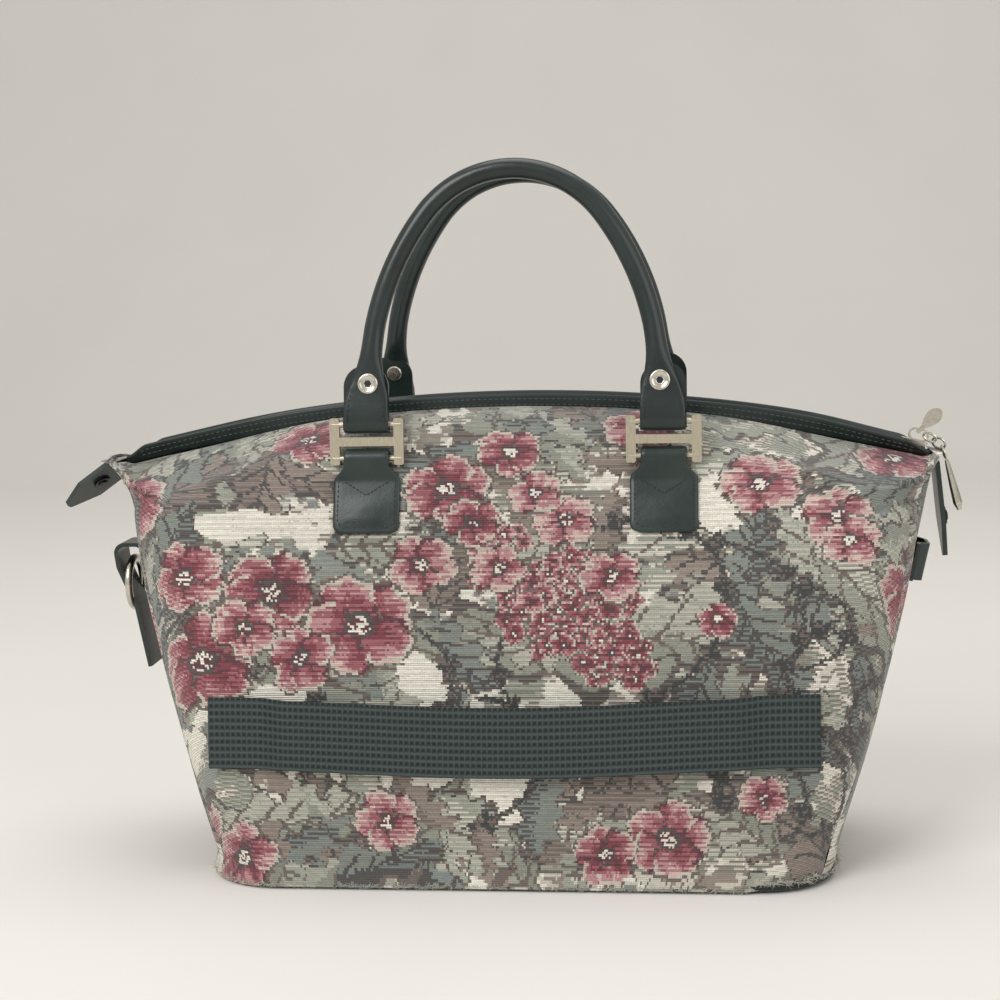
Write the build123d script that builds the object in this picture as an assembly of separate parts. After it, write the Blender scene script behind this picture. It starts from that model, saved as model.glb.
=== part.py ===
from build123d import *
import os
from math import asin, atan2, cos, degrees, radians, sin, sqrt

# Tapestry travel satchel with a top zip, two rolled leather handles on H-shaped links,
# a luggage band across the rear face and leather end tabs. Millimetres, +Z up.
# +X runs along the bag, -Y is the rear face with the band, and the origin is the
# middle of the base on the surface it stands on.

# Body
base_half_length = 193.0
base_half_width = 92.0
corner_radius = 46.0
base_thickness = 4.0
base_edge_round = 3.0
end_flare = 0.33
end_flare_bend = 0.0003
top_half_width = 18.0
zip_top = 291.0
zip_arc_radius = 1092.0
wall = 2.4
shoulder_height = 236.0
shoulder_end = 254.0
fold_start = 150.0
wing_end = 268.0
wing_half_width = 15.0

# Zip
slot_half_width = 15.5
slot_half_length = 256.0
zip_half_length = 254.0
tape_inner = 3.4
tape_thickness = 1.2
tape_top = 0.4
coil_half_width = 3.2
coil_top = 1.0
coil_under = 2.2
tooth_gap = 1.6
tooth_pitch = 5.4
trim_thickness = 2.6
trim_below = 6.0
trim_above = 8.0
slider_x = 247.0

# Handles and links
handle_x = 91.5
link_y = 54.6
lower_pin_z = 263.0
upper_pin_z = 284.0
link_width = 46.0
link_height = 29.0
link_leg = 6.0
link_bar = 5.5
link_thickness = 3.2
pin_radius = 1.75
loop_hole = 2.05
loop_outer = 4.0
strap_width = 28.0
handle_lean = 6.0
grip_radius = 6.5
core_radius = 4.0
arch_half_width = 89.0
arch_rise = 130.5
arch_foot = 25.0
top_arc = 68.0
arch_start = 10.6
screw_height = 25.0
screw_head_radius = 6.4
post_radius = 5.0
socket_radius = 1.9
shank_radius = 2.45
screw_hole = 2.5

# Body tabs
tab_width = 41.5
tab_bottom = 214.0
tab_shoulder = 246.0
leather = 2.2

# Luggage band
band_left = -190.0
band_right = 184.0
band_height = 43.0
band_thickness = 1.8
band_stand_off = 8.0
band_end = 30.0

# End tabs, side strap and loop
end_tab_width = 26.0
end_tab_thickness = 3.0
stud_radius = 5.6
side_strap_width = 26.0
side_strap_thickness = 2.5
ring_wire = 2.2
loop_width = 24.0
loop_reach = 9.6

os.makedirs("parts", exist_ok=True)
written = []


def save(name, *solids):
    """Write one node, the named piece or group of like pieces."""
    shape = solids[0] if len(solids) == 1 else Compound(children=list(solids))
    shape.label = name
    export_step(shape, f"parts/{name}.step")
    written.append(name)


def half_length(z):
    """Half length of the body at height z: the ends flare upwards."""
    return base_half_length + end_flare * z - end_flare_bend * z * z


def half_width(z):
    """Half depth of the body at height z: a quarter ellipse from base to zip."""
    share = min(z / zip_top, 1.0)
    return top_half_width + (base_half_width - top_half_width) * sqrt(1 - share * share)


def section(z, inset):
    """Rounded rectangle of the body at height z, moved in by inset."""
    length = min(half_length(z), wing_end) - inset
    width = half_width(z) - inset
    radius = min(corner_radius, width * 0.72)
    return Pos(0, 0, z) * RectangleRounded(2 * length, 2 * width, max(radius - inset, 4.0))


def arc_disc(radius, depth=400.0):
    """Everything under the zip line's arc, as a disc across the bag."""
    centre = zip_top - zip_arc_radius
    return Pos(0, 0, centre) * Rot(90, 0, 0) * Cylinder(radius, depth)


def fold_cut(side_x, side_y, inset):
    """Half space outside the facet that folds from shoulder to zip end."""
    a = Vector(side_x * fold_start, side_y * top_half_width, zip_height(fold_start))
    b = Vector(side_x * shoulder_end, side_y * (half_width(shoulder_height) - 1.0), shoulder_height)
    c = Vector(side_x * wing_end, side_y * wing_half_width, zip_height(wing_end))
    normal = (b - a).cross(c - a).normalized()
    if normal.Z < 0:
        normal = normal * -1
    plane = Plane(origin=b - normal * inset, z_dir=normal)
    return plane * Pos(0, 0, 150) * Box(700, 700, 300)


def zip_height(x):
    """Height of the zip line's arc at x."""
    return zip_top - zip_arc_radius + sqrt(zip_arc_radius ** 2 - x * x)


def body(inset, floor):
    """Closed body form from height floor to the zip arc, moved in by inset."""
    heights = [floor, 70, 140, 195, 236, 262, 280, zip_top]
    form = loft([section(z, inset) for z in heights], ruled=True)
    form = form & arc_disc(zip_arc_radius - inset)
    for side_x in (-1, 1):
        for side_y in (-1, 1):
            form = form - fold_cut(side_x, side_y, inset)
    return form


def gusset_zone(side_x):
    """Wedge that holds one end gusset: it narrows from base to zip."""
    profile = Polyline(
        (-74, 0), (74, 0), (46, shoulder_height), (slot_half_width, 262),
        (slot_half_width, 320), (-slot_half_width, 320), (-slot_half_width, 262),
        (-46, shoulder_height), close=True)
    wedge = extrude(Plane.YZ * make_face(profile), amount=200)
    wedge = Pos(130, 0, 0) * wedge
    return wedge if side_x > 0 else mirror(wedge, about=Plane.YZ)


def one(shape):
    """Largest solid of a cut, without stray crumbs."""
    return shape.solids().sort_by(SortBy.VOLUME)[-1]


# Shell of panels and gussets
outer = body(0.0, base_thickness)
inner = body(wall, base_thickness)
slot = Pos(0, 0, 270) * Box(2 * slot_half_length, 2 * slot_half_width, 100)
shell = outer - inner - slot
left_zone = gusset_zone(-1)
right_zone = gusset_zone(1)
left_gusset = shell & left_zone
right_gusset = shell & right_zone
panels = shell - left_zone - right_zone
rear_half = Pos(0, -200, 160) * Box(700, 400, 400)
front_half = Pos(0, 200, 160) * Box(700, 400, 400)
rear_panel = panels & rear_half
front_panel = panels & front_half

base = extrude(RectangleRounded(2 * base_half_length, 2 * base_half_width, corner_radius), base_thickness)
base = chamfer(base.edges().group_by(Axis.Z)[0], base_edge_round)
board_thickness = 2.2
board_inset = wall + 0.6
board = Pos(0, 0, base_thickness) * extrude(
    RectangleRounded(2 * (base_half_length - board_inset), 2 * (base_half_width - board_inset), 40), board_thickness)
lining_thickness = 0.8
lining_inset = wall + 0.3
lining_floor = base_thickness + board_thickness + 0.2
lining_outer = body(lining_inset, lining_floor)
lining_inner = body(lining_inset + lining_thickness, lining_floor + lining_thickness)
lining = lining_outer - lining_inner - slot

piping_reach = 3.2
piping_height = 4.6
piping = extrude(RectangleRounded(
    2 * (base_half_length + piping_reach), 2 * (base_half_width + piping_reach),
    corner_radius + piping_reach), piping_height)
piping = chamfer(piping.faces().sort_by(Axis.Z)[0].edges() + piping.faces().sort_by(Axis.Z)[-1].edges(), 1.5)
piping = Pos(0, 0, 1.4) * piping
piping = piping - extrude(RectangleRounded(
    2 * base_half_length + 0.1, 2 * base_half_width + 0.1, corner_radius + 0.05), 3.9)
piping = piping - body(-0.1, 3.8)

save("rear_panel", one(rear_panel))
save("front_panel", one(front_panel))
save("left_gusset", one(left_gusset))
save("right_gusset", one(right_gusset))
save("base_panel", one(base))
save("base_board", one(board))
save("lining", one(lining))
save("base_piping", one(piping))


# Zip
def arc_strip(r_low, r_high, y_low, y_high, half_span):
    """Strip along the zip line between two radii and two depths."""
    centre = zip_top - zip_arc_radius
    ring = Cylinder(r_high, y_high - y_low) - Cylinder(r_low, y_high - y_low)
    ring = Pos(0, (y_low + y_high) / 2, centre) * Rot(90, 0, 0) * ring
    return ring & Pos(0, 0, 280) * Box(2 * half_span, 200, 200)


for side, name in ((-1, "rear"), (1, "front")):
    trim_low = slot_half_width - trim_thickness - 0.05
    trim_high = slot_half_width - 0.05
    tape_high = trim_low
    trim_y = sorted((side * trim_low, side * trim_high))
    tape_y = sorted((side * tape_inner, side * tape_high))
    trim = arc_strip(zip_arc_radius - trim_below, zip_arc_radius + trim_above, *trim_y, slot_half_length - 0.2)
    tape = arc_strip(zip_arc_radius - tape_top - tape_thickness, zip_arc_radius - tape_top, *tape_y, zip_half_length)
    save(f"{name}_zip_trim", one(trim))
    save(f"{name}_zip_tape", one(tape))

coil = arc_strip(zip_arc_radius - coil_under, zip_arc_radius + coil_top, -coil_half_width, coil_half_width, zip_half_length)
tooth_gaps = []
tooth_count = int(2 * (slider_x - 12) / tooth_pitch)
for i in range(tooth_count):
    angle = (i - (tooth_count - 1) / 2) * tooth_pitch / zip_arc_radius
    x = zip_arc_radius * sin(angle)
    z = zip_top - zip_arc_radius + (zip_arc_radius + coil_top) * cos(angle)
    tooth_gaps.append(Pos(x, 0, z) * Rot(0, degrees(angle), 0) * Box(tooth_gap, 2 * coil_half_width, 1.2))
coil = coil - Compound(children=tooth_gaps)
coil = coil & Pos(slider_x + 3.5 - 250, 0, 280) * Box(500, 20, 100)
save("zip_coil", one(coil))

# Slider: two plates joined by a wedge at the mouth, with a crown on top
slider_slope = degrees(asin(slider_x / zip_arc_radius))
slider_place = Pos(slider_x, 0, zip_height(slider_x)) * Rot(0, slider_slope, 0)
plate = make_face(Polyline((-8, -4.4), (8, -5.6), (8, 5.6), (-8, 4.4), close=True))
plate = fillet(plate.vertices(), 1.6)
slider = Pos(0, 0, 1.7) * extrude(plate, 1.6)
slider = slider + Pos(0, 0, -4.2) * extrude(plate, 1.4)
slider = slider + Pos(6.2, 0, -3.0) * extrude(Ellipse(1.6, 1.3), 5.0)
for side in (-1, 1):
    slider = slider + Pos(0, side * 4.2, 1.0) * Box(14, 0.9, 1.6)
    slider = slider + Pos(0, side * 4.2, -2.6) * Box(14, 0.9, 0.9)
crown_centre = 6.6
crown_x = 2.0
crown_outer = Pos(crown_x, 0, crown_centre) * Rot(90, 0, 0) * extrude(SlotOverall(13.0, 8.4), 0.8, both=True)
crown_inner = Pos(crown_x, 0, crown_centre) * Rot(90, 0, 0) * extrude(SlotOverall(10.2, 5.8), 3, both=True)
slider = slider + (crown_outer - crown_inner)
save("zip_slider", one(slider_place * slider))

# Leaf pull: a fork over the crown, its pin through the crown, and a teardrop blade
pull_pin = 0.8
pull_tilt = 45.0
blade_edge = Spline((4.8, -1.6), (9.5, -3.9), (15.5, -4.2), (19.5, 0), (15.5, 4.2), (9.5, 3.9), (4.8, 1.6))
blade = make_face(Wire([blade_edge, Line((4.8, 1.6), (4.8, -1.6))]))
leaf = extrude(blade, 0.7, both=True)
leaf = leaf + Pos(5.3, 0, 0) * Box(1.4, 3.2, 3.8)
for side in (-1, 1):
    leaf = leaf + Pos(2.3, 0, side * 1.5) * Box(6.6, 2.0, 0.8)
leaf = leaf + Cylinder(pull_pin, 3.6)
pull_place = slider_place * Pos(crown_x - 0.5, 0, crown_centre + 2.9 - pull_pin - 0.15)
leaf_place = pull_place * Rot(0, pull_tilt - 90 - slider_slope, 0) * Rot(90, 0, 0)
save("leaf_pull", one(leaf_place * leaf))
print("leaf_pull hinge", pull_place.position)

# Chain of three rings from the crown's mouth end, and the faceted bar on the last
ring_mid = 4.3
chain_wire = 0.75
link_play = 0.35
bar_hole = 1.5
bar_length = 36.0
chain_point = (slider_place * Pos(crown_x + 3.0, 0, crown_centre + 0.5)).position
chain_steps = (("chain_ring_1", -20.0, 30.0), ("chain_ring_2", -42.0, -45.0), ("chain_ring_3", -72.0, 0.0))
for name, slope, roll in chain_steps:
    along = Vector(cos(radians(slope)), 0, sin(radians(slope)))
    across = Vector(-sin(radians(slope)), 0, cos(radians(slope)))
    other = Vector(0, cos(radians(roll)), 0) + across * sin(radians(roll))
    print(name, "hinge", chain_point)
    centre = chain_point + along * ring_mid
    wire_ring = revolve(Plane.XZ * Pos(ring_mid, 0) * RegularPolygon(chain_wire, 8), Axis.Z)
    save(name, Plane(origin=centre, x_dir=along, z_dir=along.cross(other)) * wire_ring)
    chain_point = centre + along * (ring_mid - 2 * chain_wire - link_play)
last_wire = centre + along * ring_mid
bar_slope = -74.0
bar_line = Vector(cos(radians(bar_slope)), 0, sin(radians(bar_slope)))
bar_top = last_wire + bar_line * (bar_hole - chain_wire - 0.1)
bar_face = make_face(Polyline((-2.8, -2.2), (-2.0, -3.0), (3.5, -3.6), (bar_length - 8, -4.0), (bar_length - 3, 0),
                              (bar_length - 8, 4.0), (3.5, 3.6), (-2.0, 3.0), (-2.8, 2.2), close=True))
bar = extrude(bar_face, 1.4, both=True)
bar = chamfer(bar.faces().sort_by(Axis.Z)[-1].edges() + bar.faces().sort_by(Axis.Z)[0].edges(), 0.8)
bar_place = Plane(origin=bar_top, x_dir=bar_line, z_dir=Vector(0, 1, 0))
bar = bar_place * (Rot(90, 0, 0) * bar - Cylinder(bar_hole, 20))
save("bar_pull", one(bar))
print("bar_pull hinge", last_wire)


# Zip end tabs with press studs
def tab_plate(root, tip, twist):
    """Flat pointed tab from root to tip in the XZ plane, turned about its own line."""
    line = (Vector(*tip) - Vector(*root))
    length = line.length
    half = end_tab_width / 2
    face = make_face(Polyline((0, -half), (length * 0.62, -half), (length, -2.5), (length, 2.5),
                              (length * 0.62, half), (0, half), close=True))
    plate = extrude(face, end_tab_thickness / 2, both=True)
    plate = fillet(plate.edges().filter_by(Axis.Z), 1.8)
    place = Plane(origin=Vector(*root), x_dir=line.normalized(), z_dir=Vector(0, 1, 0).cross(line.normalized()))
    return place * Rot(twist, 0, 0), plate


stud = Cylinder(stud_radius, 1.6) + Pos(0, 0, 1.0) * Cylinder(stud_radius * 0.62, 1.6)
stud = chamfer(stud.edges().group_by(Axis.Z)[-1], 0.6)
left_place, left_tab = tab_plate((-262.5, 0, 256.0), (-302.0, 0, 228.0), 24.0)
save("left_zip_end_tab", left_place * left_tab)
save("left_tab_stud", left_place * Pos(20, 0, -end_tab_thickness / 2 - 0.85) * Rot(180, 0, 0) * stud)
right_place, right_tab = tab_plate((260.6, 0, 253.0), (267.5, 0, 192.0), 0.0)
save("right_zip_end_tab", right_place * right_tab)
save("right_tab_stud", right_place * Pos(36, 0, -end_tab_thickness / 2 - 0.85) * Rot(180, 0, 0) * stud)


# Links, pins and body tabs
def h_link():
    """H-shaped link in its own frame: lower pin at the origin, upper pin above it."""
    gap = upper_pin_z - lower_pin_z
    low = gap / 2 - link_height / 2
    leg = RectangleRounded(link_leg, link_height, 1.4)
    shape = Rectangle(link_width - 2 * link_leg + 0.4, link_bar)
    for side in (-1, 1):
        shape = shape + Pos(side * (link_width - link_leg) / 2, 0) * leg
    solid = Rot(90, 0, 0) * extrude(shape, link_thickness / 2, both=True)
    solid = Pos(0, 0, low + link_height / 2) * solid
    for z in (0, gap):
        solid = solid - Pos(0, 0, z) * Rot(0, 90, 0) * Cylinder(pin_radius, link_width - 2.4)
    return solid


def link_pin(z):
    """Cross pin of the link, its ends hidden in the legs."""
    return Pos(0, 0, z) * Rot(0, 90, 0) * Cylinder(pin_radius - 0.03, link_width - 2.6)


def tab_outline():
    """Front outline of a body tab, from its rounded foot to the neck in the link."""
    half = tab_width / 2
    neck = strap_width / 2
    face = make_face(Polyline(
        (-half, tab_bottom), (half, tab_bottom), (half, tab_shoulder), (neck, tab_shoulder + 8),
        (neck, lower_pin_z + 2), (-neck, lower_pin_z + 2), (-neck, tab_shoulder + 8),
        (-half, tab_shoulder), close=True))
    face = fillet(face.vertices().group_by(Axis.Y)[0], 6)
    return face


skin_under = body(-0.2, base_thickness)
tab_skin = body(-0.2 - leather, base_thickness) - skin_under
loop_ring = Rot(0, 90, 0) * Cylinder(loop_outer, strap_width)
loop_bore = Rot(0, 90, 0) * Cylinder(loop_hole, strap_width + 4)
for side, name in ((-1, "left"), (1, "right")):
    x = side * handle_x
    outline = extrude(Plane.XZ * tab_outline(), 140)
    tab = Pos(x, 0, 0) * outline & tab_skin
    ring_place = Pos(x, -link_y, lower_pin_z)
    tab = one(tab) + ring_place * loop_ring
    tab = tab - ring_place * loop_bore - skin_under
    rear_tab = one(tab)
    save(f"rear_{name}_tab", rear_tab)
    save(f"front_{name}_tab", mirror(rear_tab, about=Plane.XZ))
    link = ring_place * h_link()
    pins = [ring_place * link_pin(0), ring_place * link_pin(upper_pin_z - lower_pin_z)]
    save(f"rear_{name}_link", link)
    save(f"front_{name}_link", mirror(link, about=Plane.XZ))
    save(f"rear_{name}_link_pins", *pins)
    save(f"front_{name}_link_pins", *[mirror(p, about=Plane.XZ) for p in pins])


# Handles: rolled grip with a rope core, its flattened ends, backing chapes, screws and posts
def arch_wire():
    """Centre line of the grip: a top arc between two flatter side arcs, all tangent."""
    drop = arch_rise - top_arc
    side_arc = (top_arc ** 2 - drop ** 2 - arch_half_width ** 2) / (2 * top_arc - 2 * arch_half_width)
    centre_x = side_arc - arch_half_width
    turn = degrees(atan2(drop, centre_x))
    right = CenterArc((-centre_x, arch_foot), side_arc, arch_start, turn - arch_start)
    top = CenterArc((0, arch_foot + drop), top_arc, turn, 180 - 2 * turn)
    left = CenterArc((centre_x, arch_foot), side_arc, 180 - turn, turn - arch_start)
    return Plane.XZ * Wire([right, top, left])


def strap_section(thick, wide, corner):
    """Rectangle with cut corners, the section of the leather where the grip flattens."""
    half_thick = thick / 2
    half_wide = wide / 2
    return make_face(Polyline(
        (-half_thick, -half_wide + corner), (-half_thick + corner, -half_wide), (half_thick - corner, -half_wide),
        (half_thick, -half_wide + corner), (half_thick, half_wide - corner), (half_thick - corner, half_wide),
        (-half_thick + corner, half_wide), (-half_thick, half_wide - corner), close=True))


strap_y = -2.4
arch_line = arch_wire()
foot = arch_line @ 0
foot_tangent = arch_line % 0
foot_x = foot.X
tube_plane = Plane(origin=foot, x_dir=Vector(0, 1, 0), z_dir=foot_tangent)
tube = sweep(tube_plane * Circle(grip_radius), path=arch_line)
core = sweep(tube_plane * RegularPolygon(core_radius, 8), path=arch_line)
grip = tube - core
flat_steps = (
    (46.0, foot_x + 1.4, 16.0, 10.0, 3.4),
    (37.5, foot_x + 2.4, 20.5, 4.6, 1.4),
    (screw_height, foot_x + 3.4, 22.0, 4.4, 1.2),
    (14.0, foot_x + 4.4, 27.0, 4.2, 1.0),
    (5.2, foot_x + 5.0, strap_width, 4.0, 0.8))
flat_faces = [tube_plane * strap_section(2 * grip_radius - 0.6, 2 * grip_radius - 0.6, 3.6)]
for z, x, wide, thick, corner in flat_steps:
    flat_faces.append(Plane(origin=Vector(x, strap_y, z), x_dir=Vector(0, 1, 0), z_dir=Vector(0, 0, 1))
                      * strap_section(thick, wide, corner))
flat_end = loft(flat_faces, ruled=True)
screw_x = foot_x + 3.4
screw_bore = Pos(screw_x, 0, screw_height) * Rot(90, 0, 0) * Cylinder(screw_hole, 40)
grip = grip + flat_end + mirror(flat_end, about=Plane.YZ)
grip = grip - screw_bore - mirror(screw_bore, about=Plane.YZ)

chape_profile = make_face(Polyline(
    (-4.0, 0), (-4.0, 2.6), (-4.2, 5.0), (-0.6, 5.0), (-1.6, 2.6), (1.6, 2.6), (0.0, 7.5), (0.0, 39.0), (2.2, 39.0),
    (2.2, 7.5), (4.0, 2.6), (4.0, 0), close=True))
chape = extrude(Plane.YZ * chape_profile, strap_width / 2, both=True)
chape = chape + loop_ring - loop_bore
chape_front = Pos(0, 0, 16.5) * Rot(90, 0, 0) * extrude(
    RectangleRounded(strap_width, 40, strap_width / 2 - 0.5), 20, both=True)
chape_low = Pos(0, 0, -10) * Box(strap_width, 40, 40)
chape = chape & (chape_front + chape_low)
chape = Pos(handle_x, 0, 0) * chape
chape = chape - screw_bore

head = Cylinder(screw_head_radius, 2.0)
head = chamfer(head.edges().group_by(Axis.Z)[-1], 0.9, 2.2)
head = head - Pos(0, 0, 0.6) * extrude(RegularPolygon(socket_radius, 6), 3)
shank = Pos(0, 0, -1.8) * Cylinder(shank_radius, 2.0)
screw = Pos(screw_x, strap_y - 3.25, screw_height) * Rot(90, 0, 0) * (head + shank)
post_head = Cylinder(post_radius, 1.6)
post_head = chamfer(post_head.edges().group_by(Axis.Z)[-1], 0.7)
post = Pos(screw_x, 3.05, screw_height) * Rot(-90, 0, 0) * (post_head + Pos(0, 0, -1.9) * Cylinder(shank_radius, 2.4))

upright = Pos(0, -link_y, upper_pin_z) * Rot(-handle_lean, 0, 0)
handle_pieces = {
    "grip": [one(grip)],
    "grip_core": [one(core)],
    "left_chape": [mirror(chape, about=Plane.YZ)],
    "right_chape": [chape],
    "screws": [mirror(screw, about=Plane.YZ), screw],
    "screw_posts": [mirror(post, about=Plane.YZ), post],
}
for piece, solids in handle_pieces.items():
    rear = [upright * solid for solid in solids]
    save(f"rear_{piece}", *rear)
    save(f"front_{piece}", *[mirror(solid, about=Plane.XZ) for solid in rear])

# Luggage band: sewn down at both ends, standing off the panel between them
band_middle = 97.0
band_slope = degrees(atan2(half_width(band_middle - 20) - half_width(band_middle + 20), 40))
band_path = Polyline(
    (band_left, 1.2), (band_left + band_end, 1.2), (band_left + band_end + 16, band_stand_off),
    (band_right - band_end - 16, band_stand_off), (band_right - band_end, 1.2), (band_right, 1.2))
band = extrude(trace(band_path, band_thickness), band_height / 2, both=True)
band_place = Pos(0, -half_width(band_middle) - 0.3, band_middle) * Rot(-band_slope, 0, 0)
save("luggage_band", one(band_place * mirror(band, about=Plane.XZ)))

# Left side strap folded over the top bar of its ring
strap_corners = (
    (-half_length(122) - 1.9, 122), (-half_length(186) - 2.2, 186), (-half_length(186) - 6.0, 203),
    (-268.0, 203), (-266.0, 188), (-255.0, 162), (-247.5, 122))
strap_path = FilletPolyline(*strap_corners, radius=5.5)
side_strap = extrude(trace(strap_path, side_strap_thickness), side_strap_width / 2, both=True)
save("left_side_strap", one(Rot(90, 0, 0) * side_strap))

ring_tall = 33.0
ring_wide = side_strap_width + 6.4
ring_pivot = (-258.5, 0, 193.0)
ring_path = RectangleRounded(ring_wide, ring_tall, 7.0).wire()
ring = sweep(Plane(origin=ring_path @ 0, z_dir=ring_path % 0) * RegularPolygon(ring_wire, 8), path=ring_path)
side_ring = Pos(*ring_pivot) * Rot(0, 0.8, 0) * Pos(0, 0, -ring_tall / 2) * (Plane.YZ * ring)
save("left_side_ring", side_ring)

# Leather loop on the right side
loop_slope = degrees(atan2(half_length(201) - half_length(181), 20))
loop_path = Polyline((1.2, -21), (1.2, -15), (loop_reach - 1.1, -9), (loop_reach - 1.1, 9), (1.2, 15), (1.2, 21))
loop_path = fillet(loop_path.vertices()[1:-1], 3)
side_loop = extrude(trace(loop_path, leather), loop_width / 2, both=True)
save("right_side_loop", one(Pos(half_length(191) + 0.3, 0, 191) * Rot(0, loop_slope, 0) * side_loop))
print(len(written), "nodes")
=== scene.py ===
import math

import bmesh
import bpy
import numpy as np
from mathutils import Matrix, Vector


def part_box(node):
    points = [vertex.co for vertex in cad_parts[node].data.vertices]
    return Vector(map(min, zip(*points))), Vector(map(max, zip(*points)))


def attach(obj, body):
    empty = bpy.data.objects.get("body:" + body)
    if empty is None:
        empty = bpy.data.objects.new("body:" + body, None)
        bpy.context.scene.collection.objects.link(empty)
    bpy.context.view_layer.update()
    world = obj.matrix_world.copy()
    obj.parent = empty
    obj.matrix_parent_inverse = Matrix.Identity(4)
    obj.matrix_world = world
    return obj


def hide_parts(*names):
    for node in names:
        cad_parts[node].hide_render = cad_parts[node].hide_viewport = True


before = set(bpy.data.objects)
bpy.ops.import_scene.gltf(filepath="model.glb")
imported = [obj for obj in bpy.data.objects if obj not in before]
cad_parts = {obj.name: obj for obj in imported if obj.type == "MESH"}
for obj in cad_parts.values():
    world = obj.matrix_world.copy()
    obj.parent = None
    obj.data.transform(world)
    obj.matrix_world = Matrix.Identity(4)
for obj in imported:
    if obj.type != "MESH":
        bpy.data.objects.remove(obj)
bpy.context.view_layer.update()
mm = 0.001
print("frame loaded:", len(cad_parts), "nodes")


# camera: the photograph's view, slightly right of the middle and about 7 degrees down
view = {
    "place": (0.108506, -1.213151, 0.389472),
    "right": (0.9949141, 0.0986360, -0.0204177),
    "up": (0.0072842, 0.1317176, 0.9912605),
    "forward": (-0.1004633, 0.9863678, -0.1303293),
    "lens": 68.54,
}
cameraData = bpy.data.cameras.new("camera")
cameraData.lens = view["lens"]
cameraData.sensor_width = 36
camera = bpy.data.objects.new("camera", cameraData)
bpy.context.scene.collection.objects.link(camera)
turn = Matrix((view["right"], view["up"], [-c for c in view["forward"]])).transposed()
camera.matrix_world = Matrix.Translation(view["place"]) @ turn.to_4x4()
bpy.context.scene.camera = camera
bpy.context.scene.view_settings.view_transform = "Standard"


# colours and nodes
def linearColor(hexText):
    # sRGB hex to linear: below 0.04045 a straight line, above it a 2.4 power
    values = [int(hexText[i:i + 2], 16) / 255 for i in (1, 3, 5)]
    return tuple(c / 12.92 if c <= 0.04045 else ((c + 0.055) / 1.055) ** 2.4 for c in values) + (1.0,)


def addNode(tree, kind, settings=None, links=None):
    # one node with its properties or socket values, and its incoming links
    node = tree.nodes.new(kind)
    for key, value in (settings or {}).items():
        if isinstance(key, str) and hasattr(node, key):
            setattr(node, key, value)
        else:
            node.inputs[key].default_value = value
    for key, source in (links or {}).items():
        tree.links.new(source, node.inputs[key])
    return node


def startMaterial(name, roughness, metallic=0.0):
    material = bpy.data.materials.new(name)
    material.use_nodes = True
    shader = material.node_tree.nodes["Principled BSDF"]
    shader.inputs["Roughness"].default_value = roughness
    shader.inputs["Metallic"].default_value = metallic
    return material, material.node_tree, shader


def rampColors(tree, factor, stops):
    # colour ramp from (place, hex) pairs
    ramp = addNode(tree, "ShaderNodeValToRGB", links={"Fac": factor})
    elements = ramp.color_ramp.elements
    while len(elements) < len(stops):
        elements.new(0.5)
    for element, (place, hexText) in zip(elements, stops):
        element.position = place
        element.color = linearColor(hexText)
    return ramp.outputs["Color"]


def colorAndRelief(tree, shader, color, height, strength, distance):
    # colour to the shader, and a height to its normal, as a bump that is distance metres deep
    tree.links.new(color, shader.inputs["Base Color"])
    bump = addNode(tree, "ShaderNodeBump", {"Strength": strength, "Distance": distance}, {"Height": height})
    tree.links.new(bump.outputs["Normal"], shader.inputs["Normal"])


def varyRoughness(tree, shader, pattern, low, high):
    # a pattern's 0 to 1 becomes a roughness from low to high
    rough = addNode(tree, "ShaderNodeMapRange", {"To Min": low, "To Max": high}, {"Value": pattern})
    tree.links.new(rough.outputs["Result"], shader.inputs["Roughness"])


def threadWaves(tree, uv, pitches):
    # a sine along each named axis of the piece's own map, one turn for each pitch in metres
    split = addNode(tree, "ShaderNodeSeparateXYZ", links={"Vector": uv})
    waves = []
    for axis, pitch in pitches:
        angle = addNode(tree, "ShaderNodeMath", {"operation": "MULTIPLY", 1: 2 * math.pi / pitch},
                        {0: split.outputs[axis]})
        wave = addNode(tree, "ShaderNodeMath", {"operation": "SINE"}, {0: angle.outputs[0]})
        waves.append(wave.outputs[0])
    return waves


# smooth cowhide, dyed dark green and plated: fine pores, low wide creases, a satin gloss
def leatherMaterial(name, dark, light, roughness, poreScale=900.0, coat=0.0):
    material, tree, shader = startMaterial(name, roughness)
    shader.inputs["Specular IOR Level"].default_value = 0.36
    shader.inputs["Coat Weight"].default_value = coat
    shader.inputs["Coat Roughness"].default_value = 0.14
    place = {"Vector": addNode(tree, "ShaderNodeTexCoord").outputs["Object"]}
    cloud = addNode(tree, "ShaderNodeTexNoise", {"Scale": 38.0, "Detail": 5.0, "Roughness": 0.6}, place)
    color = rampColors(tree, cloud.outputs["Fac"], [(0.32, dark), (0.72, light)])
    # 1.1 mm apart at a scale of 900
    pores = addNode(tree, "ShaderNodeTexVoronoi", {"Scale": poreScale}, place)
    lines = addNode(tree, "ShaderNodeTexNoise", {"Scale": 210.0, "Detail": 6.0, "Distortion": 0.6}, place)
    mixed = addNode(tree, "ShaderNodeMath", {"operation": "MULTIPLY_ADD", 1: 0.35},
                    {0: pores.outputs["Distance"], 2: lines.outputs["Fac"]})
    colorAndRelief(tree, shader, color, mixed.outputs[0], 0.35, 0.0004)
    varyRoughness(tree, shader, cloud.outputs["Fac"], roughness - 0.08, roughness + 0.14)
    return material


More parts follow.
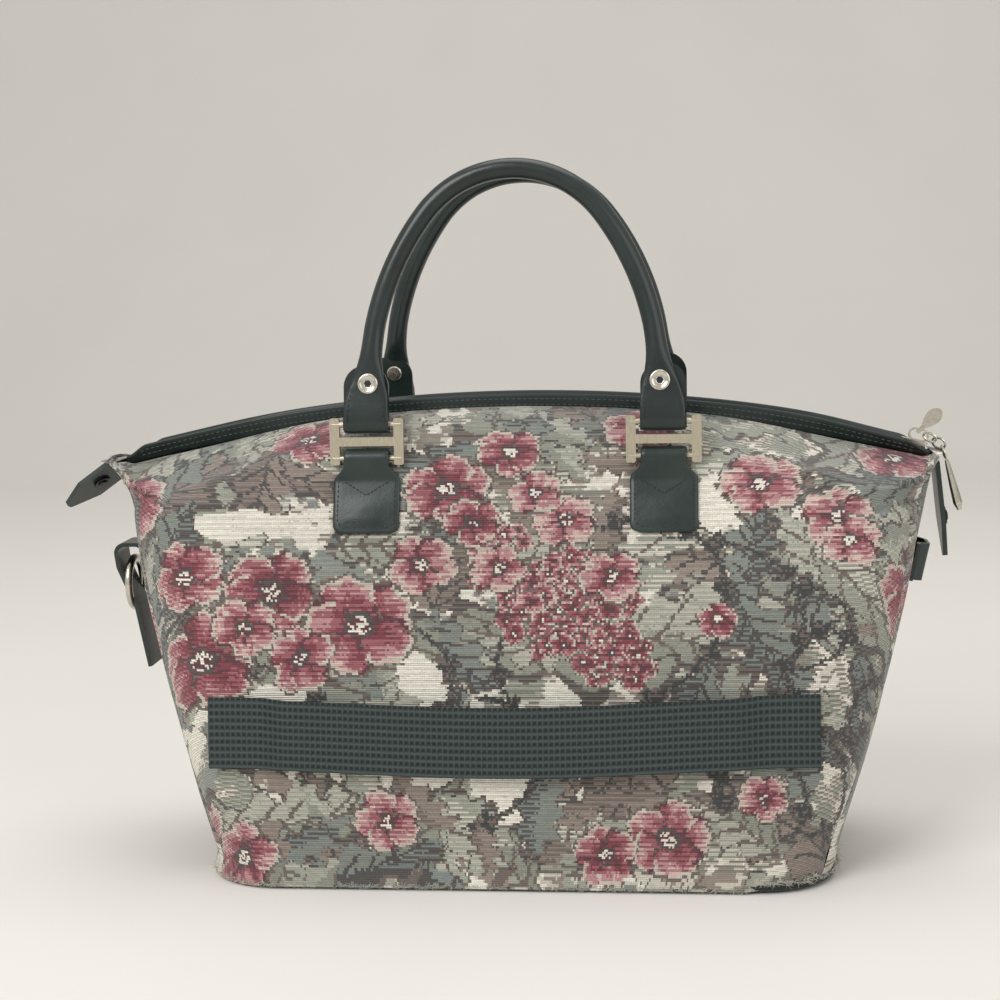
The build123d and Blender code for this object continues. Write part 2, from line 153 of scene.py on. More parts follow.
# floral jacquard tapestry: cotton weft ribs 1.45 mm apart over a fine warp, matt with a soft fuzz
def tapestryMaterial():
    material, tree, shader = startMaterial("jacquardTapestry", 0.86)
    uv = addNode(tree, "ShaderNodeUVMap", {"uv_map": "weave"}).outputs["UV"]
    yarn = addNode(tree, "ShaderNodeAttribute", {"attribute_name": "yarn"}).outputs["Color"]
    warpWave, ribWave = threadWaves(tree, uv, (("X", 0.0011), ("Y", 0.00145)))
    # 4 mm by one rib
    slub = addNode(tree, "ShaderNodeMapping", {"Scale": (260.0, 690.0, 1.0)}, {"Vector": uv})
    slubNoise = addNode(tree, "ShaderNodeTexNoise", {"Scale": 1.0, "Detail": 3.0},
                        {"Vector": slub.outputs["Vector"]})
    fuzz = addNode(tree, "ShaderNodeTexNoise", {"Scale": 2600.0, "Detail": 2.0}, {"Vector": uv})
    weave = addNode(tree, "ShaderNodeMath", {"operation": "MULTIPLY_ADD", 1: 0.3}, {0: warpWave, 2: ribWave})
    height = addNode(tree, "ShaderNodeMath", {"operation": "MULTIPLY_ADD", 1: 2.2},
                     {0: slubNoise.outputs["Fac"], 2: weave.outputs[0]})
    # partly painted shade: the yarn colour is darkened in the hollows between weft ribs and warp threads and
    # lightened on their crowns; the slubs in the height add random tone
    shade = addNode(tree, "ShaderNodeMapRange",
                    {"From Min": -2.0, "From Max": 3.2, "To Min": 0.52, "To Max": 1.32},
                    {"Value": height.outputs[0]})
    fleck = addNode(tree, "ShaderNodeMapRange",
                    {"From Min": 0.3, "From Max": 0.7, "To Min": 0.86, "To Max": 1.12},
                    {"Value": fuzz.outputs["Fac"]})
    level = addNode(tree, "ShaderNodeMath", {"operation": "MULTIPLY"},
                    {0: shade.outputs[0], 1: fleck.outputs[0]})
    toned = addNode(tree, "ShaderNodeVectorMath", {"operation": "SCALE"},
                    {0: yarn, "Scale": level.outputs[0]})
    colorAndRelief(tree, shader, toned.outputs["Vector"], height.outputs[0], 0.75, 0.00032)
    shader.inputs["Sheen Weight"].default_value = 0.25
    shader.inputs["Sheen Roughness"].default_value = 0.6
    return material


# nickel plate on cast zinc: brushed along the link, warm grey, streaks 0.15 mm apart
def brushedNickel():
    material, tree, shader = startMaterial("brushedNickel", 0.34, 1.0)
    streak = addNode(tree, "ShaderNodeMapping", {"Scale": (7000.0, 7000.0, 260.0)},
                     {"Vector": addNode(tree, "ShaderNodeTexCoord").outputs["Object"]})
    noise = addNode(tree, "ShaderNodeTexNoise", {"Scale": 1.0, "Detail": 4.0},
                    {"Vector": streak.outputs["Vector"]})
    color = rampColors(tree, noise.outputs["Fac"], [(0.25, "#a39a86"), (0.8, "#d0c8b5")])
    colorAndRelief(tree, shader, color, noise.outputs["Fac"], 0.08, 0.0001)
    varyRoughness(tree, shader, noise.outputs["Fac"], 0.26, 0.46)
    return material


# polished nickel: mirror-like with faint handling scratches
def polishedNickel():
    material, tree, shader = startMaterial("polishedNickel", 0.16, 1.0)
    noise = addNode(tree, "ShaderNodeTexNoise", {"Scale": 420.0, "Detail": 6.0, "Distortion": 1.4},
                    {"Vector": addNode(tree, "ShaderNodeTexCoord").outputs["Object"]})
    color = rampColors(tree, noise.outputs["Fac"], [(0.3, "#b9b3a6"), (0.75, "#d9d4c8")])
    tree.links.new(color, shader.inputs["Base Color"])
    varyRoughness(tree, shader, noise.outputs["Fac"], 0.1, 0.3)
    return material


# plain woven or spun surface: threads at a stated spacing in both directions
def clothMaterial(name, dark, light, spacing, roughness=0.8):
    material, tree, shader = startMaterial(name, roughness)
    scaled = addNode(tree, "ShaderNodeMapping", {"Scale": (1 / spacing,) * 3},
                     {"Vector": addNode(tree, "ShaderNodeTexCoord").outputs["Object"]})
    place = {"Vector": scaled.outputs["Vector"]}
    weave = addNode(tree, "ShaderNodeTexChecker", {"Scale": 1.0}, place)
    noise = addNode(tree, "ShaderNodeTexNoise", {"Scale": 1.7, "Detail": 3.0}, place)
    color = rampColors(tree, noise.outputs["Fac"], [(0.3, dark), (0.7, light)])
    mixed = addNode(tree, "ShaderNodeMath", {"operation": "ADD"},
                    {0: weave.outputs["Fac"], 1: noise.outputs["Fac"]})
    colorAndRelief(tree, shader, color, mixed.outputs[0], 0.5, 0.0002)
    return material


# ribbed elastic webbing: wrapped rubber cores 4.3 mm apart, crossed by weft loops 3.4 mm apart
# that leave pits; the colour is painted shade and light, dark in the pits and lighter on the raised cores
def elasticMaterial():
    material, tree, shader = startMaterial("ribbedElastic", 0.58)
    uv = addNode(tree, "ShaderNodeUVMap", {"uv_map": "weave"}).outputs["UV"]
    loopWave, coreWave = threadWaves(tree, uv, (("X", 0.0034), ("Y", 0.0043)))
    pits = addNode(tree, "ShaderNodeMath", {"operation": "MAXIMUM"}, {0: loopWave, 1: coreWave})
    thread = addNode(tree, "ShaderNodeMapping", {"Scale": (700.0, 1900.0, 1.0)}, {"Vector": uv})
    noise = addNode(tree, "ShaderNodeTexNoise", {"Scale": 1.0, "Detail": 4.0},
                    {"Vector": thread.outputs["Vector"]})
    height = addNode(tree, "ShaderNodeMath", {"operation": "MULTIPLY_ADD", 1: 0.9},
                     {0: noise.outputs["Fac"], 2: pits.outputs[0]})
    level = addNode(tree, "ShaderNodeMapRange", {"From Min": -0.5, "From Max": 1.6},
                    {"Value": height.outputs[0]})
    # painted shade and light: the colour follows the relief height, near black in the pits and lighter on the
    # raised cores, with the thread noise's random tone mixed in
    color = rampColors(tree, level.outputs["Result"], [(0.1, "#0a1010"), (0.5, "#1c2828"), (0.95, "#33413f")])
    colorAndRelief(tree, shader, color, height.outputs[0], 0.8, 0.0005)
    return material


tapestry = tapestryMaterial()
gripLeather = leatherMaterial("rolledLeather", "#0b1817", "#172624", 0.33, coat=0.35)
tabLeather = leatherMaterial("tabLeather", "#142220", "#2b3834", 0.36, 700.0, 0.2)
trimLeather = leatherMaterial("trimLeather", "#0f1b1a", "#1f2c29", 0.4, coat=0.15)
baseVinyl = leatherMaterial("glossVinyl", "#141d1d", "#1f2a29", 0.2, 1300.0)
elastic = elasticMaterial()
nickel = brushedNickel()
polished = polishedNickel()
zipTape = clothMaterial("wovenZipTape", "#1b2626", "#2a3736", 0.0007)
zipNylon = clothMaterial("spunNylonCoil", "#18201f", "#2b3534", 0.0009, 0.45)
liningCloth = clothMaterial("plainLining", "#2c302e", "#3a3f3c", 0.0006)
boardStock = clothMaterial("pressedBoard", "#2a2826", "#3b3935", 0.002, 0.9)
sewingThread = clothMaterial("twistedThread", "#141c1c", "#2a3534", 0.0005, 0.6)
trimThread = clothMaterial("wornThread", "#2f3a38", "#515d59", 0.0005, 0.6)
paleThread = clothMaterial("frayedCotton", "#9b978b", "#d8d4c6", 0.0005, 0.9)
ropeCore = clothMaterial("twistedRope", "#8b8069", "#b3a88c", 0.0016, 0.9)
blackEnamel = leatherMaterial("blackEnamel", "#0d0e0e", "#1a1b1b", 0.25, 2400.0)

nodeFinish = {
    "base_panel": baseVinyl, "base_piping": baseVinyl, "base_board": boardStock, "lining": liningCloth,
    "rear_zip_tape": zipTape, "front_zip_tape": zipTape, "zip_coil": zipNylon,
    "zip_slider": polished, "leaf_pull": polished, "bar_pull": polished, "left_side_ring": polished,
    "left_tab_stud": blackEnamel, "right_tab_stud": blackEnamel,
    "left_side_strap": tabLeather, "right_side_loop": tabLeather,
    "left_zip_end_tab": tabLeather, "right_zip_end_tab": tabLeather,
}
for nodeName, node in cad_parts.items():
    finish = nodeFinish.get(nodeName)
    if finish is None:
        finish = gripLeather
        if nodeName.startswith("chain_ring") or nodeName.endswith(("_screws", "_screw_posts")):
            finish = polished
        if nodeName.endswith(("_link", "_link_pins")):
            finish = nickel
        if nodeName.endswith("_tab"):
            finish = tabLeather
        if nodeName.endswith("grip_core"):
            finish = ropeCore
    node.data.materials.clear()
    node.data.materials.append(finish)
print("materials made")


# meshes from grids
def unit(vectors, least=0.0):
    # each vector divided by its length; least keeps a vector of no length from dividing by nothing
    return vectors / (np.linalg.norm(vectors, axis=-1, keepdims=True) + least)


def cellMiddle(values):
    # mean of the four corners of each cell of a grid
    return 0.25 * (values[:-1, :-1] + values[1:, :-1] + values[:-1, 1:] + values[1:, 1:])


def gridPiece(name, points, material, body, uv=None, faceColor=None, closeRound=False, replaces=()):
    # points[i, j] is a grid; faces join neighbours, and their order makes the normals point out along
    # (d/dj) x (d/di); closeRound joins the last column to the first
    rows, columns = points.shape[:2]
    index = np.arange(rows * columns).reshape(rows, columns)
    right = np.roll(index, -1, axis=1) if closeRound else index[:, 1:]
    left = index if closeRound else index[:, :-1]
    quads = np.stack([left[:-1], right[:-1], right[1:], left[1:]], axis=-1).reshape(-1, 4)
    mesh = bpy.data.meshes.new(name)
    mesh.vertices.add(rows * columns)
    mesh.vertices.foreach_set("co", points.reshape(-1, 3).astype(np.float32).ravel())
    mesh.loops.add(quads.size)
    mesh.loops.foreach_set("vertex_index", quads.ravel().astype(np.int32))
    mesh.polygons.add(len(quads))
    mesh.polygons.foreach_set("loop_start", (np.arange(len(quads)) * 4).astype(np.int32))
    mesh.polygons.foreach_set("loop_total", np.full(len(quads), 4, np.int32))
    mesh.update(calc_edges=True)
    mesh.polygons.foreach_set("use_smooth", np.ones(len(quads), bool))
    if uv is not None:
        layer = mesh.uv_layers.new(name="weave")
        layer.data.foreach_set("uv", uv.reshape(-1, 2)[quads.ravel()].astype(np.float32).ravel())
    if faceColor is not None:
        attribute = mesh.attributes.new("yarn", "FLOAT_COLOR", "CORNER")
        values = np.concatenate([faceColor.reshape(-1, 3), np.ones((len(quads), 1))], axis=1)
        attribute.data.foreach_set("color", np.repeat(values, 4, axis=0).astype(np.float32).ravel())
    if closeRound:
        # rows drawn together to a point or a seam become one
        whole = bmesh.new()
        whole.from_mesh(mesh)
        bmesh.ops.remove_doubles(whole, verts=whole.verts, dist=1e-6)
        whole.to_mesh(mesh)
        whole.free()
    return placePiece(name, mesh, material, body, replaces)


def closeEnds(points):
    # a point in the middle of the first and of the last ring, repeated as a ring of its own
    ends = [points[k:k + 1].mean(axis=1, keepdims=True) for k in (0, len(points) - 1)]
    first, last = [np.repeat(end, points.shape[1], axis=1) for end in ends]
    return np.concatenate([first, points, last])


def placePiece(name, mesh, material, body, replaces=()):
    piece = bpy.data.objects.new(name, mesh)
    bpy.context.scene.collection.objects.link(piece)
    mesh.materials.clear()
    mesh.materials.append(material)
    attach(piece, body)
    if replaces:
        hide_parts(*replaces)
    return piece


def repeatPiece(name, shape, places, along, up, material, body):
    # a small closed shape (points, faces) set at many places: x runs along, z runs up
    points, faces = shape
    along = unit(along)
    side = unit(np.cross(up, along))
    top = np.cross(along, side)
    frameAxes = np.stack([along, side, top], axis=1)
    allPoints = places[:, None, :] + np.einsum("pk,nkc->npc", points, frameAxes)
    firstPoints = (np.arange(len(places)) * len(points))[:, None, None]
    allFaces = (faces[None] + firstPoints).reshape(-1, faces.shape[1])
    mesh = bpy.data.meshes.new(name)
    mesh.from_pydata(allPoints.reshape(-1, 3).tolist(), [], allFaces.tolist())
    mesh.polygons.foreach_set("use_smooth", np.ones(len(mesh.polygons), bool))
    return placePiece(name, mesh, material, body)


def stitchShape(length, width, rise):
    # one stitch: seven rings of six points whose radius falls with the fourth power of the distance
    # from the middle, and a flat cap at each end
    t = np.linspace(-1, 1, 7)
    a = np.arange(6) * np.pi / 3
    radius = np.sqrt(np.clip(1 - t ** 4, 0, 1)) + 0.02
    points = np.stack([
        np.repeat(t * length / 2, 6),
        (radius[:, None] * np.cos(a) * width / 2).ravel(),
        (radius[:, None] * np.sin(a) * rise).ravel()], axis=1)
    index = np.arange(42).reshape(7, 6)
    following = np.roll(index, -1, axis=1)
    faces = np.stack([index[:-1], following[:-1], following[1:], index[1:]], axis=-1).reshape(-1, 4)
    caps = np.array([[3, 2, 1, 0], [5, 4, 3, 0], [36, 37, 38, 39], [36, 39, 40, 41]])
    return points, np.concatenate([faces, caps])


# body form, the same driving sizes as the solids
bag = {
    "baseHalfLength": 193.0, "baseHalfWidth": 92.0, "cornerRadius": 46.0, "floor": 4.0,
    "flare": 0.33, "flareBend": 0.0003, "topHalfWidth": 18.0, "zipTop": 291.0, "zipRadius": 1092.0,
    "shoulder": 236.0, "shoulderEnd": 254.0, "foldStart": 150.0, "wingEnd": 268.0, "wingHalfWidth": 15.0,
    "slotHalfWidth": 15.5, "slotHalfLength": 256.0, "stitchWide": 1.4, "ribHigh": 1.45,
    "trimDrop": 5.0, "tabX": 91.5, "levels": 214, "panelColumns": 188, "gussetColumns": 108, "edgeRows": 3,
    "gussetShift": 420,  # where the ends lie in the tapestry's design
}


def halfLength(z):
    # base half length plus a flare that bends back with height squared
    return bag["baseHalfLength"] + bag["flare"] * z - bag["flareBend"] * z * z


def halfWidth(z):
    # quarter ellipse from base to zip
    share = np.clip(z / bag["zipTop"], 0, 1)
    return bag["topHalfWidth"] + (bag["baseHalfWidth"] - bag["topHalfWidth"]) * np.sqrt(1 - share ** 2)


def zipHeight(x):
    # circular arc, highest in the middle
    return bag["zipTop"] - bag["zipRadius"] + np.sqrt(bag["zipRadius"] ** 2 - np.clip(x, -400, 400) ** 2)


def clothTop(x):
    # the cloth's upper edge: the zip arc, a little lower near the ends where more of the trim shows
    drop = bag["trimDrop"] * smoothStep(110, 215, np.abs(x))
    return zipHeight(x) - drop * (1 - smoothStep(250, 262, np.abs(x)))


def foldHeight(x, y):
    # plane through the fold's three corners, mirrored to all four quarters
    a = np.array([bag["foldStart"], bag["topHalfWidth"], zipHeight(bag["foldStart"])])
    b = np.array([bag["shoulderEnd"], halfWidth(bag["shoulder"]) - 1.0, bag["shoulder"]])
    c = np.array([bag["wingEnd"], bag["wingHalfWidth"], zipHeight(bag["wingEnd"])])
    n = np.cross(b - a, c - a)
    return a[2] - (n[0] * (np.abs(x) - a[0]) + n[1] * (np.abs(y) - a[1])) / n[2]


def gussetHalf(z):
    # half depth of the end gusset at a height: straight taper, quick narrowing over the shoulder
    return np.interp(z, [0, 236, 262], [74, 46, bag["slotHalfWidth"]])


def softMin(a, b, softness):
    # the lower of two values, with the corner where they cross rounded off over the softness
    h = np.clip(0.5 + 0.5 * (b - a) / softness, 0, 1)
    return b * (1 - h) + a * h - softness * h * (1 - h)


def smoothStep(low, high, value):
    # 0 below low, 1 above high, and an S curve of cubes between them
    t = np.clip((value - low) / (high - low), 0, 1)
    return t * t * (3 - 2 * t)


# noise on a lattice, seeded by whole-number hashing
def latticeNoise(x, y, seed):
    xi, yi = np.floor(x).astype(np.int64), np.floor(y).astype(np.int64)
    fx, fy = x - xi, y - yi
    fx, fy = fx * fx * (3 - 2 * fx), fy * fy * (3 - 2 * fy)
    corners = [hashUnit(xi + i, yi + j, seed) for i in (0, 1) for j in (0, 1)]
    near = corners[0] * (1 - fy) + corners[1] * fy
    far = corners[2] * (1 - fy) + corners[3] * fy
    return near * (1 - fx) + far * fx


def hashUnit(i, j, seed):
    # whole numbers to a value from 0 to 1
    n = (i * 374761393 + j * 668265263 + seed * 2147483647) & 0xFFFFFFFF
    n = ((n ^ (n >> 13)) * 1274126177) & 0xFFFFFFFF
    return ((n ^ (n >> 16)) & 0xFFFF) / 65535.0


def cloudNoise(x, y, size, seed, octaves=4):
    # sum of lattice noises, each half the size and half the weight of the last
    total, weight, norm = 0.0, 1.0, 0.0
    for k in range(octaves):
        layer = latticeNoise(x / size * 2 ** k + 17.3 * k, y / size * 2 ** k + 5.1 * k, seed + k)
        total = total + weight * layer
        norm += weight
        weight *= 0.5
    return total / norm


# tapestry design: yarn colours, and where each goes
yarns = {
    "cream": "#e4dfd2", "pale": "#c4c0b2", "sage": "#9b9d90", "moss": "#85877a", "slate": "#7b8480",
    "taupe": "#8e8177", "brown": "#695e57", "dark": "#4a4643", "ink": "#353736",
    "burgundy": "#7c3540", "rose": "#985860", "pink": "#b78789", "blush": "#ceb2a9", "plum": "#5a2f36",
}
yarnCode = {yarnName: k for k, yarnName in enumerate(yarns)}
yarnColors = np.array([linearColor(hexText)[:3] for hexText in yarns.values()])
flowers = {
    # own layout: place along the panel, place up it, radius, petals, turn, tone (0 dark rose, 1 pale)
    "blooms": [
        (-196, 150, 33, 5, 0.3, 0.1), (-150, 196, 29, 5, 1.1, -0.05), (-96, 172, 34, 5, 0.7, 0.2),
        (-206, 208, 24, 5, 2.0, 0.35), (-44, 272, 27, 5, 0.2, 0.25), (-4, 300, 20, 5, 0.9, 0.1),
        (-218, 34, 31, 5, 0.5, 0.3), (-172, 20, 24, 5, 1.4, 0.5), (92, 34, 25, 5, 0.1, 0.45),
        (54, 22, 20, 5, 1.7, 0.2), (258, 204, 36, 5, 0.4, -0.1), (282, 160, 28, 5, 1.3, -0.05),
        (-252, 268, 30, 5, 0.8, 0.45), (-300, 226, 24, 5, 1.9, 0.3), (150, 276, 25, 5, 0.6, 0.7),
        (196, 250, 22, 5, 1.5, 0.75), (122, 176, 12, 5, 0.2, 0.0), (-318, 120, 27, 5, 0.4, 0.1),
        (330, 96, 28, 5, 1.0, 0.15), (232, 310, 24, 5, 0.4, 0.3), (-132, 316, 24, 5, 0.9, 0.3),
        (76, 322, 22, 5, 0.3, 0.5), (30, 246, 19, 5, 0.5, 0.95), (-10, 214, 17, 5, 1.2, 0.9),
        (-132, 150, 22, 5, 1.6, 0.35), (-168, 172, 20, 5, 0.9, 0.6), (-58, 216, 21, 5, 2.2, 0.75),
        (12, 268, 17, 5, 0.4, 0.85), (60, 206, 18, 5, 1.0, 0.6), (-26, 246, 18, 5, 0.8, 0.0),
        (204, 232, 18, 5, 0.2, 0.9), (-80, 44, 20, 5, 0.7, 0.7), (150, 60, 15, 5, 1.1, 0.6),
        (-420, 60, 34, 5, 0.2, 0.1), (-452, 150, 28, 5, 0.9, 0.3), (-396, 214, 26, 5, 0.1, 0.2),
        (430, 80, 32, 5, 1.2, 0.2), (392, 170, 28, 5, 0.6, 0.0), (452, 210, 24, 5, 0.3, 0.4)],
    # clusters of small florets: place, reach, count, tone
    "clusters": [(34, 186, 42, 70, 0.0), (8, 214, 34, 34, 0.35), (62, 150, 22, 24, -0.1),
                 (-246, 78, 20, 14, 0.2)],
    "floret": 7.0,
}
creamBlobs = [
    # pale ground: place along, place up, half sizes
    (-128, 112, 66, 36), (-66, 150, 30, 60), (-226, 96, 34, 26), (-20, 74, 70, 24), (226, 60, 16, 40),
    (-176, 246, 34, 16), (-40, 40, 50, 14), (128, 262, 20, 18), (430, 150, 30, 50), (-430, 110, 30, 40),
]
stems = [
    # dark scroll stems: start, heading in degrees, length, bend per mm, thickness
    (70, 118, 20, 210, 0.5, 2.6), (120, 60, 80, 170, -0.9, 2.2), (196, 176, 200, 130, 1.1, 2.2),
    (150, 150, -30, 120, 1.4, 2.0), (30, 96, 160, 120, -0.8, 2.0), (-60, 92, 40, 120, 0.9, 2.0),
    (-120, 110, 100, 90, 1.2, 1.8), (210, 90, 120, 120, -1.2, 2.2), (110, 232, 0, 120, -0.7, 1.8),
    (-30, 40, 10, 130, 0.9, 2.0), (170, 40, 60, 110, 1.5, 1.9), (-250, 140, 70, 120, -0.8, 2.0)]


def leafLayer(x, h, cell, seed, longShare):
    # jittered lattice of pointed, toothed leaves: returns (inside, vein, half, leaf number)
    # of the topmost leaf
    best = np.full(x.shape, -1.0)
    inside = np.zeros(x.shape, bool)
    vein = np.zeros(x.shape)
    half = np.zeros(x.shape)
    number = np.zeros(x.shape)
    ci, cj = np.floor(x / cell).astype(np.int64), np.floor(h / cell).astype(np.int64)
    for di in (-1, 0, 1):
        for dj in (-1, 0, 1):
            i, j = ci + di, cj + dj
            px = (i + 0.2 + 0.6 * hashUnit(i, j, seed)) * cell
            ph = (j + 0.2 + 0.6 * hashUnit(i, j, seed + 1)) * cell
            angle = 2 * np.pi * hashUnit(i, j, seed + 2)
            reach = cell * longShare * (0.65 + 0.5 * hashUnit(i, j, seed + 3))
            dx, dh = x - px, h - ph
            s = (dx * np.cos(angle) + dh * np.sin(angle)) / reach * 0.5 + 0.5
            bend = 0.35 * (s - 0.5) ** 2 * reach
            t = -dx * np.sin(angle) + dh * np.cos(angle) - bend
            width = 0.36 * reach * np.sin(np.pi * np.clip(s, 0, 1)) ** 0.75
            width = width * (1 + 0.32 * np.sin(s * 30 + 4 * hashUnit(i, j, seed + 4)))
            rank = hashUnit(i, j, seed + 5)
            hit = (s > 0) & (s < 1) & (np.abs(t) < width) & (rank > best)
            best = np.where(hit, rank, best)
            inside |= hit
            vein = np.where(hit, np.minimum(np.abs(t), np.abs(((s * 7) % 1) * reach / 7 - np.abs(t) * 0.6)),
                            vein)
            half = np.where(hit, np.sign(t) * np.clip(np.abs(t) / (width + 1e-6), 0, 1), half)
            number = np.where(hit, hashUnit(i, j, seed + 6), number)
    return inside, vein, half, number


def bloomColors(code, x, h, cx, ch, radius, petals, turn, tone, grain, band):
    # round petals overlap round a dark heart; each has a shadowed side, a lit middle and a pale rim
    dx, dh = x - cx, h - ch
    near = np.hypot(dx, dh) < radius * 1.3
    dx, dh, grain, band = dx[near], dh[near], grain[near], band[near]
    r = np.hypot(dx, dh)
    chosen = code[near].copy()
    bands = np.array([yarnCode[n] for n in ["plum", "burgundy", "rose", "pink", "blush", "pale"]])
    petalForms = []
    for k in range(petals):
        a = turn + 2 * np.pi * k / petals + 0.2 * math.sin(3 * k + turn * 5)
        reach = radius * (0.49 + 0.05 * math.sin(5 * k + turn * 3))
        px, ph = dx - math.cos(a) * radius * 0.54, dh - math.sin(a) * radius * 0.54
        along = (px * math.cos(a) + ph * math.sin(a)) / reach
        side = (-px * math.sin(a) + ph * math.cos(a)) / reach
        d = np.hypot(along, side / 1.1) * (1 + 0.07 * np.sin(7 * np.arctan2(side, along) + 2 * k))
        petalForms.append((along, side, d))
        chosen = np.where((d < 1.14) & (grain > 0.35), yarnCode["brown"], chosen)
    for k, (along, side, d) in enumerate(petalForms):
        shade = 1.9 + 1.5 * along - 0.9 * side + 0.5 * np.sin(side * 6 + k)
        shade = shade + 1.4 * tone + 0.35 * band + 1.3 * (grain - 0.5)
        petal = bands[np.clip(np.floor(shade), 0, 4).astype(int)]
        petal = np.where((d > 0.85) & (along > -0.35) & (side < 0.6),
                         np.where(grain > 0.4, yarnCode["pale"], yarnCode["blush"]), petal)
        petal = np.where((d > 0.8) & ((side >= 0.6) | (along < -0.5)),
                         np.where(grain > 0.7, yarnCode["brown"], yarnCode["plum"]), petal)
        chosen = np.where(d < 1, petal, chosen)
    heart = r < radius * 0.2
    ring = (r < radius * 0.3) & ~heart
    chosen = np.where(ring & (grain > 0.4), yarnCode["dark"], chosen)
    chosen = np.where(heart, np.where(grain > 0.5, yarnCode["cream"], yarnCode["plum"]), chosen)
    code = code.copy()
    code[near] = chosen
    return code


def tapestryDesign(x, h, seed):
    # x and h in mm along and up the panel, taken in whole weft stitches; returns linear colours
    column = np.floor(x / bag["stitchWide"]).astype(np.int64)
    row = np.floor(h / bag["ribHigh"]).astype(np.int64)
    grain = 0.5 * hashUnit(column, row, seed) + 0.5 * hashUnit(column // 3, row, seed + 1)
    band = np.where(row % 2 == 0, 1.0, -1.0)
    x = x + 2.6 * (hashUnit(column * 0, row, seed + 2) - 0.5)
    wx = x + 9 * (cloudNoise(x, h, 30, 3) - 0.5)
    wh = h + 9 * (cloudNoise(x, h, 30, 9) - 0.5)

    def either(one, other, share=0.5):
        # two yarns shown by turns: one weft rib each, with a few stray stitches
        return np.where(band * 0.5 + (grain - 0.5) * 0.9 > 1 - 2 * share - 0.02, yarnCode[one],
                        yarnCode[other])

    tone = cloudNoise(wx, wh, 74, 31)
    code = either("sage", "moss", 0.5)
    code = np.where(tone > 0.54, either("slate", "sage", 0.4), code)
    code = np.where(cloudNoise(wx, wh, 60, 77) > 0.57, either("taupe", "moss", 0.6), code)
    pale = np.zeros(x.shape)
    for bx, bh, rx, rh in creamBlobs:
        pale = np.maximum(pale, 1.25 - np.hypot((wx - bx) / rx, (wh - bh) / rh))
    creamShare = pale + 1.2 * (cloudNoise(wx, wh, 24, 21) - 0.5)
    creamShare = creamShare + 1.1 * (cloudNoise(wx, wh, 7, 55, 2) - 0.5)
    creamHere = creamShare > 0.16
    code = np.where((creamShare > -0.04) & ~creamHere, either("pale", "taupe", 0.5), code)
    code = np.where(creamHere, yarnCode["cream"], code)
    code = np.where(creamHere & (grain > 0.93), yarnCode["pale"], code)
    for cell, leafSeed, longShare, cut in ((96, 101, 0.9, 0.36), (62, 211, 0.9, 0.44), (38, 307, 0.9, 0.53)):
        inside, vein, half, number = leafLayer(wx, wh, cell, leafSeed, longShare)
        inside &= cloudNoise(x, h, 70, leafSeed + 9) > cut
        inside &= ~(creamHere & (number > 0.2) & (pale > 0.55) & (cell > 40))
        lit = half * 0.5 + 0.5 + 0.25 * (grain - 0.5)
        leafCode = np.where(lit > 0.5, either("sage", "pale", 0.6), either("moss", "sage", 0.6))
        leafCode = np.where((number > 0.25) & (number < 0.5),
                            np.where(lit > 0.5, either("pale", "sage"), yarnCode["sage"]), leafCode)
        leafCode = np.where((number > 0.5) & (number < 0.72),
                            np.where(lit > 0.5, yarnCode["taupe"], either("brown", "taupe")), leafCode)
        leafCode = np.where(number > 0.72,
                            np.where(lit > 0.5, either("slate", "moss"),
                                     either("dark", "slate", 0.4)), leafCode)
        leafCode = np.where((vein < 0.8) & (cell > 40),
                            np.where(number < 0.5, yarnCode["brown"], yarnCode["dark"]), leafCode)
        rim = (half < -0.72) | (np.abs(half) > 0.93)
        leafCode = np.where(rim, either("brown", "dark", 0.6), leafCode)
        code = np.where(inside, leafCode, code)
    for sx, sh, heading, length, bend, thick in stems:
        # spiral stem: heading turns steadily, nearest point found on a sampled line,
        # with short barbs beside it
        step = np.arange(0, length, 2.0)
        way = np.radians(heading + bend * step + 0.004 * bend * step ** 2)
        lx, lh = sx + np.cumsum(np.cos(way)) * 2.0, sh + np.cumsum(np.sin(way)) * 2.0
        near = (x > lx.min() - 14) & (x < lx.max() + 14) & (h > lh.min() - 14) & (h < lh.max() + 14)
        gap = np.hypot(x[near][:, None] - lx, h[near][:, None] - lh)
        at = gap.argmin(axis=1)
        reach = gap.min(axis=1)
        barb = thick * 0.6 + 6.5 * np.clip(np.sin(at * 2.0 / 7.5) ** 9, 0, 1)
        some = code[near]
        some = np.where(reach < barb, np.where(grain[near] > 0.62, yarnCode["brown"], yarnCode["ink"]), some)
        some = np.where((reach >= barb) & (reach < barb + 1.2) & (grain[near] > 0.5), yarnCode["dark"], some)
        code[near] = some
    rng = np.random.default_rng(17)
    for cx, ch, reach, count, clusterTone in flowers["clusters"]:
        for k in range(count):
            away, around = reach * math.sqrt(rng.random()), 2 * math.pi * rng.random()
            code = bloomColors(code, x, h, cx + away * math.cos(around), ch + away * math.sin(around) * 0.8,
                               flowers["floret"] * (0.8 + 0.5 * rng.random()), 5, 3 * rng.random(),
                               clusterTone + 0.5 * rng.random() - 0.15, grain, band)
    for cx, ch, radius, petals, turnBy, bloomTone in flowers["blooms"]:
        code = bloomColors(code, 0.5 * (x + wx), 0.5 * (h + wh), cx, ch, radius, petals, turnBy, bloomTone,
                           grain, band)
    color = yarnColors[code]
    faded = 0.84 + 0.30 * cloudNoise(x, h, 120, 91)[..., None]
    ribTone = 1.0 + 0.10 * band[..., None] + 0.16 * (grain[..., None] - 0.5)
    return np.clip(color * faded * ribTone, 0, 1)


def levelHeights(rows):
    # heights spaced evenly along the curved panel, by inverting its running length
    phi = np.linspace(math.asin(bag["floor"] / bag["zipTop"]), math.pi / 2, 800)
    z = bag["zipTop"] * np.sin(phi)
    y = halfWidth(z)
    run = np.concatenate([[0], np.cumsum(np.hypot(np.diff(z), np.diff(y)))])
    return np.interp(np.linspace(0, run[-1], rows), run, z)


